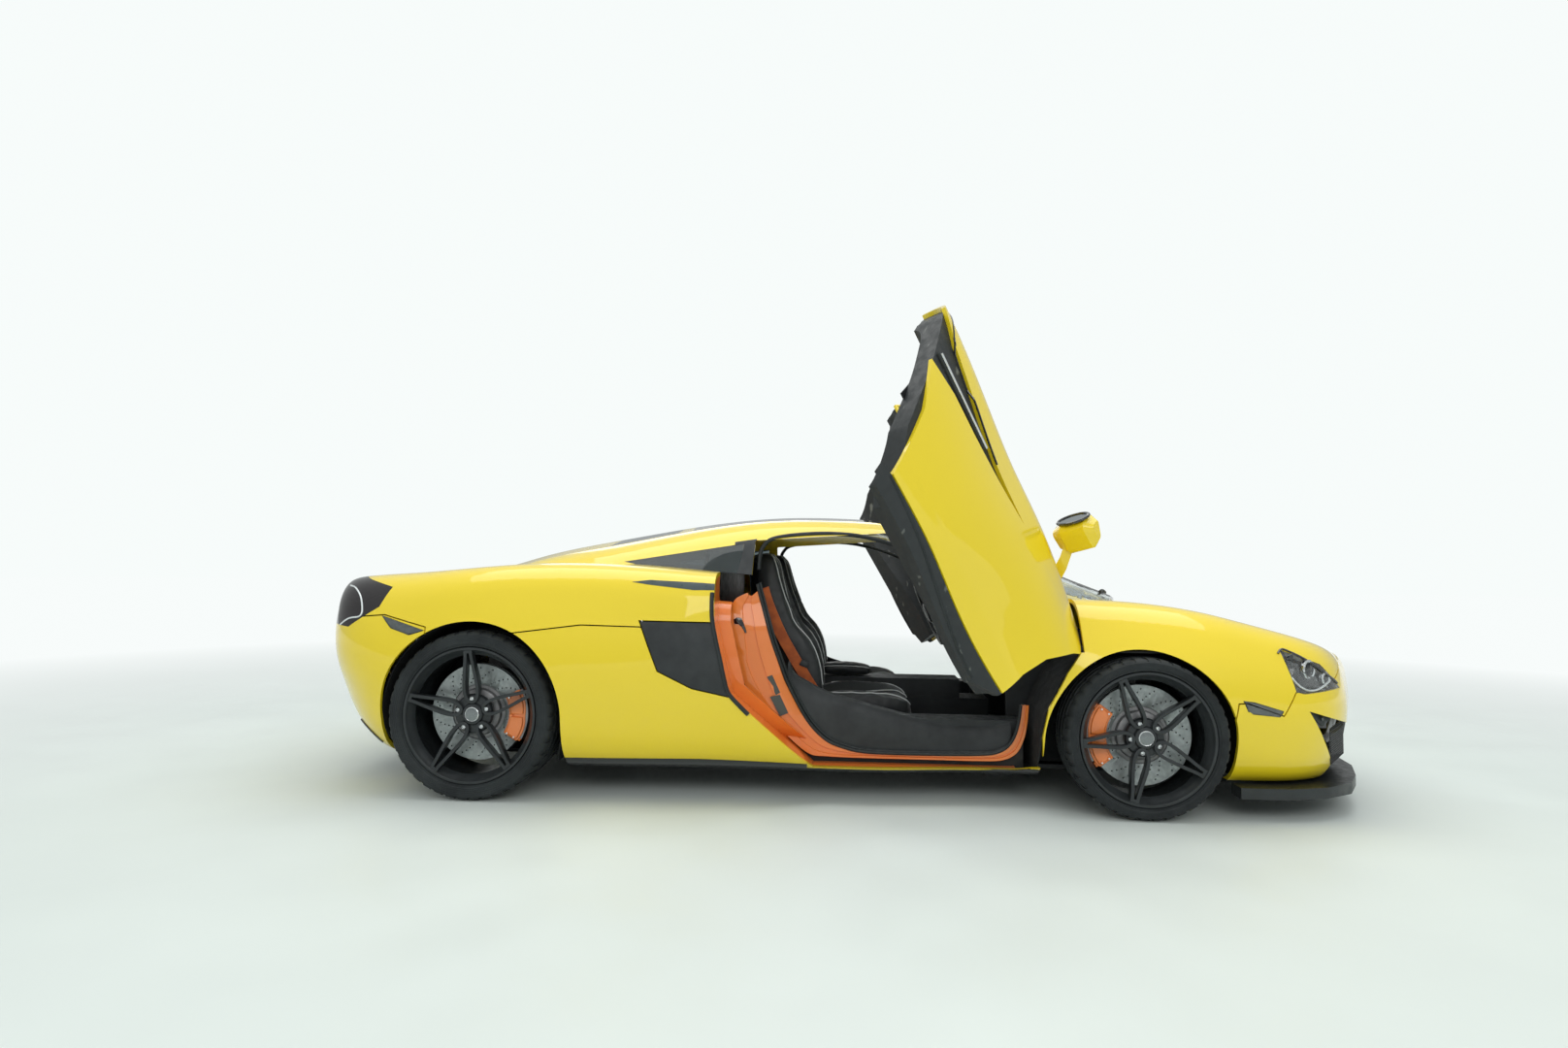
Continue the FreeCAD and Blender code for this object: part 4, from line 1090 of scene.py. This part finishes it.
def mesh_panel(corners, columns, rows, wire):
    """Woven diamond mesh stretched between four corners."""
    a, b, c, d = (Vector(corner) for corner in corners)
    lines = []
    for j in range(rows + 1):
        v = j / rows
        lines.append([a.lerp(b, i / columns).lerp(d.lerp(c, i / columns), v) for i in range(columns + 1)])
    piece = sheet(lines)
    pick_faces(piece, lambda face: True)
    bpy.ops.mesh.poke()
    bpy.ops.mesh.tris_convert_to_quads(face_threshold=pi, shape_threshold=pi)
    object_mode()
    return modified(piece, "WIREFRAME", thickness=wire, use_even_offset=False)


corner_mesh = mesh_panel([(1.905, -0.800, 0.205), (2.085, -0.560, 0.205), (2.085, -0.560, 0.345),
                          (1.905, -0.800, 0.345)], 14, 8, 0.003)
both(corner_mesh, "corner_mesh", gloss_black)
VANE_TOP = [(1878, 402), (1930, 392), (1985, 375), (2034, 354)]
VANE_LOW = [(1896, 372), (1930, 348), (1972, 325), (2010, 340)]
rows = [[(x / 1000, -0.640 + (x / 1000 - 1.95) * 0.9, z / 1000)
         for x, z in between(smooth(VANE_TOP, 4), smooth(VANE_LOW, 4), share)] for share in (0.0, 0.5, 1.0)]
both(soften(sheet(rows, wall=0.006), 0.0015), "nose_vane", trim_plastic)
sensor = turned_mm(0, [(0, 0.1), (0, 11), (-4, 11), (-6, 8), (-6, 0.1)], 28, capped=True)
both(facing(sensor, Vector((1.955, -0.648, 0.362)), 42), "parking_sensor", hub_grey, "dark_plastic")

PLATE_FRONT = 2.2660
corners = ((-0.235, 0.318), (0.235, 0.318), (0.235, 0.462), (-0.235, 0.462))
blank = plate([(PLATE_FRONT - 0.0035, y, z) for y, z in corners], (0.002, 0, 0))
single(soften(blank, 0.0006, 1), "blank_plate", blank_label)

# tail lamps: smoked lens with a bright bent line inside its edge
TAIL_LINE = [
    (-2110, 852), (-2062, 843), (-2014, 808), (-1990, 756), (-1998, 728), (-2055, 718), (-2120, 682)
]
LOWER_BLACK = [(-2040, 284), (-1995, 262), (-1940, 228), (-1914, 204)]
trim("tail_light_line", TAIL_LINE, 4, 0.0004, ["tail_lamps"], 0.0035, light_guide)
trim("rear_corner_edge", LOWER_BLACK, 4, 0.0002, ["rear_bumper"], 0.006, gloss_black)


# ---------------- seats
SEAT_MIDDLE = -0.342
# height, front of the bolster, front of the middle, half width, back
BACK_STATIONS = [
    (0.300, -0.060, -0.150, 0.205, -0.300), (0.440, -0.078, -0.185, 0.214, -0.330),
    (0.550, -0.096, -0.208, 0.214, -0.362), (0.640, -0.140, -0.236, 0.208, -0.382),
    (0.700, -0.205, -0.262, 0.196, -0.392), (0.760, -0.236, -0.282, 0.178, -0.404),
    (0.830, -0.262, -0.296, 0.160, -0.416), (0.910, -0.288, -0.310, 0.146, -0.424),
    (0.980, -0.306, -0.322, 0.134, -0.428), (1.030, -0.326, -0.338, 0.112, -0.426)
]
# place along the car, top of the bolster, top of the middle, half width, underside
CUSHION_STATIONS = [
    (-0.150, 0.402, 0.330, 0.205, 0.190), (-0.060, 0.418, 0.318, 0.214, 0.176),
    (0.060, 0.420, 0.322, 0.216, 0.172), (0.160, 0.414, 0.338, 0.214, 0.172),
    (0.250, 0.404, 0.352, 0.206, 0.176), (0.315, 0.372, 0.342, 0.192, 0.196)
]
# across the seat and forwards, as shares of the half width and of the bolster's height
RING = [
    (-1.0, 0.55), (-0.99, 0.92), (-0.86, 1.0), (-0.70, 0.86), (-0.56, 0.30), (-0.30, 0.03), (0.0, 0.0),
    (0.30, 0.03), (0.56, 0.30), (0.70, 0.86), (0.86, 1.0), (0.99, 0.92), (1.0, 0.55), (0.96, 0.0),
    (0.55, -1.0), (0.0, -1.0), (-0.55, -1.0), (-0.96, 0.0)
]


def seat_ring(front, middle, half, rear):
    """One section of a padded seat part, from its bolsters' front to its rear."""
    ring = []
    for across, ahead in RING + RING[:1]:
        if ahead < 0:
            depth = rear
        elif abs(across) > 0.95 and ahead < 0.1:
            depth = (middle + rear) / 2
        else:
            depth = middle + (front - middle) * ahead
        ring.append((depth, SEAT_MIDDLE + across * half))
    return ring


def padded_form(rows, name, swell):
    """A closed form filled with air for a moment, so that it crowns like upholstery."""
    piece = rounded(sheet(rows, closed=True))
    piece.name = name
    modified(piece, "REMESH", mode="VOXEL", voxel_size=0.006)
    rest = [vertex.co.copy() for vertex in piece.data.vertices]
    cloth = piece.modifiers.new("air", "CLOTH")
    cloth.settings.use_pressure = True
    cloth.settings.uniform_pressure_force = 4
    cloth.settings.effector_weights.gravity = 0
    for number in range(1, 21):
        bpy.context.scene.frame_set(number)
    only(piece)
    bpy.ops.object.modifier_apply(modifier="air")
    bpy.context.scene.frame_set(1)
    for vertex, start in zip(piece.data.vertices, rest):
        move = vertex.co - start
        if move.length > swell:
            vertex.co = start + move.normalized() * swell
    modified(piece, "SMOOTH", factor=0.5, iterations=4)
    bpy.ops.object.shade_smooth()
    return piece


def seated(points, piece, lift):
    """Points drawn onto the nearest skin of a padded form."""
    tree = skin_of(piece.data)
    places = []
    for point in points:
        place, normal, _, _ = tree.find_nearest(Vector(point))
        places.append(tuple(place + normal * lift))
    return places


def seam(points, steps, form, lift, radius):
    return strip(seated(smooth(points, steps), form, lift), radius, resolution=2)


SWELL = 0.010
seat_back = padded_form([[(x, y, z) for x, y in seat_ring(*shape)] for z, *shape in BACK_STATIONS],
                        "seat_back", SWELL)
cushion = padded_form([[(x, y, z) for z, y in seat_ring(*shape)] for x, *shape in CUSHION_STATIONS],
                      "seat_cushion", SWELL)

piping = []
for side in (-1, 1):
    for share, deep in ((0.86, 1.0), (0.58, 0.34)):
        crest = [(bolster * deep + middle * (1 - deep), SEAT_MIDDLE + side * share * half, z)
                 for z, bolster, middle, half, _ in BACK_STATIONS[1:]]
        edge = [(x, SEAT_MIDDLE + side * share * half, bolster * deep + middle * (1 - deep))
                for x, bolster, middle, half, _ in CUSHION_STATIONS[1:]]
        piping += [seam(crest, 5, seat_back, 0.0014, 0.0024), seam(edge, 5, cushion, 0.0014, 0.0024)]
seams = []
for z, bolster, middle, half, _ in (BACK_STATIONS[3], BACK_STATIONS[6]):
    line = [(middle, SEAT_MIDDLE + k * half * 0.14, z) for k in range(-4, 5)]
    seams.append(seam(line, 3, seat_back, 0.0004, 0.0018))
for x in (0.02, 0.16):
    line = [(x, SEAT_MIDDLE + k * 0.030, 0.33) for k in range(-4, 5)]
    seams.append(seam(line, 3, cushion, 0.0004, 0.0018))
white_lines, black_seams = joined(piping), joined(seams)

backs = pair(seat_back, "seat_back", seat_hide)
for piece in pair(cushion, "seat_cushion", seat_hide):
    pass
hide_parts("seats")
pair(white_lines, "seat_piping", piping_cloth)
pair(black_seams, "seat_seams", seat_hide)

# shell behind the padding
rows = [[(rear + 0.052 * abs(k / 6) ** 3 - 0.012, SEAT_MIDDLE + k / 6 * (half + 0.004), z)
         for k in range(-6, 7)] for z, bolster, middle, half, rear in BACK_STATIONS[:-1]]
both(rounded(sheet(rows, wall=0.005)), "seat_shell", gloss_black, angle=60)

# belt of orange webbing from the pillar down to the buckle side
belt_line = smooth([(-0.352, -0.600, 0.860), (-0.330, -0.594, 0.790), (-0.275, -0.588, 0.665),
                    (-0.215, -0.584, 0.560), (-0.160, -0.580, 0.470), (-0.128, -0.576, 0.420)], 5)
rows = [[(x + push, y, z + push * 0.35) for x, y, z in belt_line] for push in (-0.023, -0.008, 0.008, 0.023)]
both(sheet(rows, wall=0.0014), "belt_webbing", belt_webbing, angle=50)
slide = [(-0.182, 0.553), (-0.150, 0.540), (-0.160, 0.516), (-0.194, 0.530)]
both(soften(plate([(x, -0.590, z) for x, z in slide], (0, 0.010, 0)), 0.003), "belt_slide", dark_plastic)

# padded arm rest on the console, edged with pale piping
ARM_RING = [
    (-1, 0.3), (-0.9, 0.85), (-0.5, 1), (0, 1), (0.5, 1), (0.9, 0.85), (1, 0.3), (0.8, 0), (0, 0),
    (-0.8, 0), (-1, 0.3)
]
ARM_STATIONS = ((-0.120, 0.050, 0.424, 0.478), (-0.040, 0.058, 0.424, 0.486), (0.060, 0.058, 0.424, 0.486),
                (0.150, 0.046, 0.424, 0.468))
arm = padded_form([[(x, y * width, low + (high - low) * up) for y, up in ARM_RING]
                   for x, width, low, high in ARM_STATIONS], "console_arm_rest", 0.004)
dress(arm, "console_arm_rest", seat_hide)
for name, side in (("right", -1), ("left", 1)):
    edge = [(x, side * 0.050, 0.470) for x in (-0.11, -0.04, 0.03, 0.09, 0.145)]
    single(seam(edge, 4, arm, 0.001, 0.0022), "arm_rest_piping_" + name, piping_cloth)


# ---------------- steering wheel and cowl
WHEEL_CENTRE = Vector((0.455, 0.342, 0.720))
COLUMN_LEAN = 66
GRIP_RADIUS = 0.014
grip = turned_ring([(GRIP_RADIUS * cos(a * pi / 8), 0.172 + GRIP_RADIUS * sin(a * pi / 8))
                    for a in range(16)], 72)
hub = turned_mm(0, [(20, 0.1), (20, 50), (4, 60), (-14, 52), (-20, 30), (-21, 0.1)], 48, capped=True)
ARM_OUTLINE = [
    (0.045, -0.020), (0.100, -0.013), (0.162, -0.018), (0.162, 0.018), (0.100, 0.013), (0.045, 0.020)
]
arms = []
for turn in (0, 180, 270):
    c, s = cos(radians(turn)), sin(radians(turn))
    outline = [(r * c - w * s, -0.004, r * s + w * c) for r, w in ARM_OUTLINE]
    arms.append(soften(plate(outline, (0, 0.010, 0)), 0.003))
to_column = (Matrix.Translation(WHEEL_CENTRE) @ Matrix.Rotation(radians(COLUMN_LEAN - 90), 4, "Y")
             @ Matrix.Rotation(radians(-90), 4, "Z"))
for piece, name, finish in ((grip, "wheel_rim_cover", seat_hide), (hub, "wheel_hub_pad", seat_hide),
                            (joined(arms), "wheel_spokes", trim_plastic)):
    piece.data.transform(to_column)
    single(piece, name, finish, angle=40)
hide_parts("steering_wheel")

hood = [[(0.600 + 0.10 * v, WHEEL_CENTRE.y + 0.150 * sin(t), 0.735 + 0.062 * cos(t) + 0.01 * v)
         for t in map(radians, range(-90, 91, 15))] for v in (0.0, 0.5, 1.0)]
single(rounded(sheet(hood, wall=0.005)), "instrument_hood", dark_plastic, angle=60)


# ---------------- door trim
def door_pair(piece, name, finish, slot=None):
    """A piece built on the shut door, opened with it and repeated on the left door."""
    done(piece).data.transform(OPENED)
    return pair(piece, name, finish, slot, "door_right", "door_left")


# strips along the window's lower edge, laid straight on the opened door
STRIP_HIGH = Vector((0.330, -1.232, 1.735))
STRIP_LOW = Vector((0.512, -1.110, 1.405))
for name, shift, radius, finish in (("window_strip_seat", 0.0, 0.0085, rubber_seal),
                                    ("window_strip_outer", 0.013, 0.0050, bright_metal),
                                    ("window_strip_inner", -0.010, 0.0032, bright_metal)):
    low, high = STRIP_LOW + Vector((shift, 0, 0)), STRIP_HIGH + Vector((shift, 0, 0))
    line = done(strip([tuple(high.lerp(low, k / 8)) for k in range(9)], radius))
    pair(line, name, finish, "glass" if finish == bright_metal else None, "door_right", "door_left")

ROCKER_EDGE = [(-120, 196), (0, 190), (200, 178), (420, 168), (640, 158), (760, 160)]
BLADE_UNDER = [
    (-505, 925), (-470, 870), (-420, 812), (-373, 778), (-250, 752), (-139, 738), (0, 714), (96, 698)
]
trim("rocker_edge", ROCKER_EDGE, 4, 0.0006, ["door_right_frame", "door_right_skin"], 0.004, rubber_seal,
     finisher=door_pair)
trim("blade_edge", BLADE_UNDER, 4, 0.0006, ["door_right_skin", "door_right_frame"], 0.004, gloss_black,
     finisher=door_pair)

# the mirror's glass and dark rim at the back of its head, which stands further out than MIRROR_ARM
MIRROR_ARM = -0.890
mirror = frame["nodes"]["door_right_mirror"].data
head = [place for place in (SHUT @ vertex.co for vertex in mirror.vertices) if place.y < MIRROR_ARM]
back = min(p.x for p in head)
(low_y, high_y), (low_z, high_z) = [(min(p[i] for p in head), max(p[i] for p in head)) for i in (1, 2)]
reach_y, reach_z = (high_y - low_y) / 2 - 0.006, (high_z - low_z) / 2 - 0.008
oval = [(back - 0.001, (low_y + high_y) / 2 + reach_y * cos(t * pi / 16) * 0.92,
         (low_z + high_z) / 2 + reach_z * sin(t * pi / 16) * 0.88) for t in range(32)]
door_pair(soften(plate(oval, (0.003, 0, 0)), 0.0006, 1), "mirror_glass", mirror_glass)
door_pair(strip(oval + oval[:1], 0.006, soft=False), "mirror_rim", gloss_black)


# ---------------- tail and deck
DIFFUSER = [(-640, 138), (-560, 262), (-470, 318), (470, 318), (560, 262), (640, 138)]
single(panel_patch(["rear_bumper"], [DIFFUSER], view="back", lift=0.0006), "diffuser_skin", dark_plastic)
fins = []
for y in (-0.40, -0.24, -0.08, 0.08, 0.24, 0.40):
    top, low = rear_x(y, 0.290, "rear_bumper"), rear_x(y, 0.160, "rear_bumper")
    side_view = ((top + 0.004, 0.290), (top - 0.004, 0.282), (low - 0.010, 0.160), (low + 0.010, 0.150))
    fins.append(soften(plate([(x, y - 0.003, z) for x, z in side_view], (0, 0.006, 0)), 0.0012))
single(joined(fins), "diffuser_fins", gloss_black)

TIP_HEIGHT = 0.372
aft = Matrix.Rotation(radians(-90), 4, "Z")
for name, y in (("right", -0.165), ("left", 0.165)):
    back = rear_x(y, TIP_HEIGHT, "rear_bumper")
    tip = turned_mm(0, [(30, 50), (-4, 50), (-8, 47), (-4, 43), (26, 42)], 48)
    tip.data.transform(Matrix.Translation((back + 0.004, y, TIP_HEIGHT)) @ aft)
    single(tip, "exhaust_tip_" + name, bright_metal)
    # a near-black disc just inside the tip's lip: painted shade standing in for the dark hollow of the pipe
    shade_disc = turned_mm(0, [(0, 0.1), (0, 43), (3, 43), (3, 0.1)], 48, capped=True)
    shade_disc.data.transform(Matrix.Translation((back - 0.001, y, TIP_HEIGHT)) @ aft)
    single(shade_disc, "exhaust_shade_disc_" + name, liner_felt)

TAIL_END = -2.2645        # the net's wires stop here, inside the CAD box
back = rear_x(0, 0.79, "tail_panel")
tail_net = mesh_panel([(back, -0.385, 0.735), (back, 0.385, 0.735), (back, 0.385, 0.850),
                       (back, -0.385, 0.850)], 44, 7, 0.003)
# the net bows with the panel behind it
for vertex in tail_net.data.vertices:
    bow = rear_x(max(-0.38, min(0.38, vertex.co.y)), vertex.co.z, "tail_panel")
    if bow:
        vertex.co.x = max(TAIL_END, bow - 0.001 + (vertex.co.x - back))
single(tail_net, "tail_mesh", gloss_black)

for number, x in enumerate((-1840, -1920, -2000, -2080)):
    front, rear = 250 - number * 14, 244 - number * 14
    louvre = [(x, -front), (x, front), (x - 46, rear), (x - 46, -rear)]
    single(panel_patch(["rear_deck"], [louvre], view="top", lift=0.0012, thickness=0.004),
           f"deck_louvre_{number + 1}", dark_plastic)

# one long wiper parked along the windscreen foot
WIPER = [(1.262, -0.060, 0.815), (1.235, -0.200, 0.826), (1.180, -0.380, 0.842), (1.120, -0.520, 0.850)]
arm_line = []
for x, y, _ in smooth(WIPER, 4):
    hit = tree_of("windscreen").ray_cast(Vector((x - 0.015, y, 1.6)), Vector((0, 0, -1)))[0]
    if hit:
        arm_line.append((x - 0.015, y, hit.z + 0.009))
single(strip(arm_line, 0.006), "wiper_arm", dark_plastic)
blade_line = [(x, y, z - 0.006) for x, y, z in arm_line[2:]]
single(strip(blade_line, 0.003, resolution=2), "wiper_blade", rubber_seal)


# ---------------- studio
ground = Finish("Pale studio floor", (0.70, 0.76, 0.735), 0.55, specular_ior_level=0.3)
ground.tint(ground.noise(0.7, 4.0), (0.74, 0.80, 0.775), 0.3, 0.7)
ground.gloss(ground.noise(3.0, 4.0), 0.42, 0.6)
# far from the car the floor turns into the white backdrop
FADE_START, FADE_END = 3.2, 8.5
BACKDROP_GLOW = 0.97
far = ground.node("ShaderNodeVectorMath", operation="LENGTH")
rays = ground.node("ShaderNodeLightPath")
glow = ground.node("ShaderNodeEmission", strength=BACKDROP_GLOW)
glow.inputs["Color"].default_value = (0.965, 1.0, 0.992, 1)
fade = ground.node("ShaderNodeMixShader")
veil = ground.node("ShaderNodeMath", operation="MULTIPLY")
seen_rays = ground.node("ShaderNodeMath", operation="MAXIMUM")
for source, target in (
        (ground.place.outputs["Object"], far.inputs[0]),
        (ground.ramp(far.outputs["Value"], 0.0, 1.0, FADE_START, FADE_END), veil.inputs[0]),
        (rays.outputs["Is Camera Ray"], seen_rays.inputs[0]),
        (rays.outputs["Is Glossy Ray"], seen_rays.inputs[1]),
        (seen_rays.outputs[0], veil.inputs[1]), (veil.outputs[0], fade.inputs[0]),
        (ground.shader.outputs[0], fade.inputs[1]), (glow.outputs[0], fade.inputs[2]),
        (fade.outputs[0], ground.tree.nodes["Material Output"].inputs["Surface"])):
    ground.link(source, target)
deselect()
bpy.ops.mesh.primitive_plane_add(size=80, location=(0, 0, -0.0005))
floor = bpy.context.object
floor.name = "studio_floor"
floor.data.materials.append(ground.material)

world = bpy.data.worlds.new("Studio")
bpy.context.scene.world = world
world.use_nodes = True
nodes, links = world.node_tree.nodes, world.node_tree.links
background = nodes["Background"]
background.inputs["Color"].default_value = (0.96, 1.0, 0.99, 1)
place, split, height, ray_kind, seen, either = [nodes.new("ShaderNode" + kind) for kind in (
    "TexCoord", "SeparateXYZ", "MapRange", "LightPath", "Mix", "Math")]
for name, value in (("From Min", -0.1), ("From Max", 0.7), ("To Min", 0.40), ("To Max", 0.72)):
    height.inputs[name].default_value = value
seen.data_type = "FLOAT"
seen.inputs[3].default_value = BACKDROP_GLOW
either.operation = "MAXIMUM"
for source, target in (
        (place.outputs["Generated"], split.inputs[0]), (split.outputs["Z"], height.inputs["Value"]),
        (ray_kind.outputs["Is Camera Ray"], either.inputs[0]),
        (ray_kind.outputs["Is Transmission Ray"], either.inputs[1]),
        (either.outputs[0], seen.inputs[0]), (height.outputs["Result"], seen.inputs[2]),
        (seen.outputs[0], background.inputs["Strength"])):
    links.new(source, target)


def lamp(name, place, target, size, watts, tall):
    data = bpy.data.lights.new(name, "AREA")
    data.shape = "RECTANGLE"
    data.size = size
    data.size_y = tall
    data.energy = watts
    data.color = (1.0, 1.0, 0.985)
    light = bpy.data.objects.new(name, data)
    bpy.context.scene.collection.objects.link(light)
    light.location = place
    light.rotation_euler = (Vector(target) - Vector(place)).to_track_quat("-Z", "Y").to_euler()


lamp("roof softbox", (0, 0, 5.2), (0, 0, 0), 7.5, 165, 4.0)
lamp("side softbox", (1.0, -6.5, 3.8), (0, 0, 0.5), 6.0, 105, 2.2)
lamp("far softbox", (-1.0, 6.5, 3.8), (0, 0, 0.6), 6.0, 60, 2.2)

camera_data = bpy.data.cameras.new("camera")
camera_data.lens = 20.06
camera_data.sensor_width = 36
camera = bpy.data.objects.new("camera", camera_data)
bpy.context.scene.collection.objects.link(camera)
yaw, pitch, roll = radians(3.855), radians(-2.849), radians(0.708)
ahead = Vector((-sin(yaw) * cos(pitch), cos(yaw) * cos(pitch), -sin(pitch)))
side = Vector((cos(yaw), sin(yaw), 0))
upward = side.cross(ahead)
across = cos(roll) * side + sin(roll) * upward
upright = -sin(roll) * side + cos(roll) * upward
across = cos(roll) * side + sin(roll) * upward
upright = -sin(roll) * side + cos(roll) * upward
aim = Matrix((across, upright, -ahead)).transposed().to_4x4()
aim.translation = Vector((-9.5, -4401.4, 950.9)) / 1000
camera.matrix_world = aim
bpy.context.scene.camera = camera
bpy.context.scene.view_settings.view_transform = "Standard"
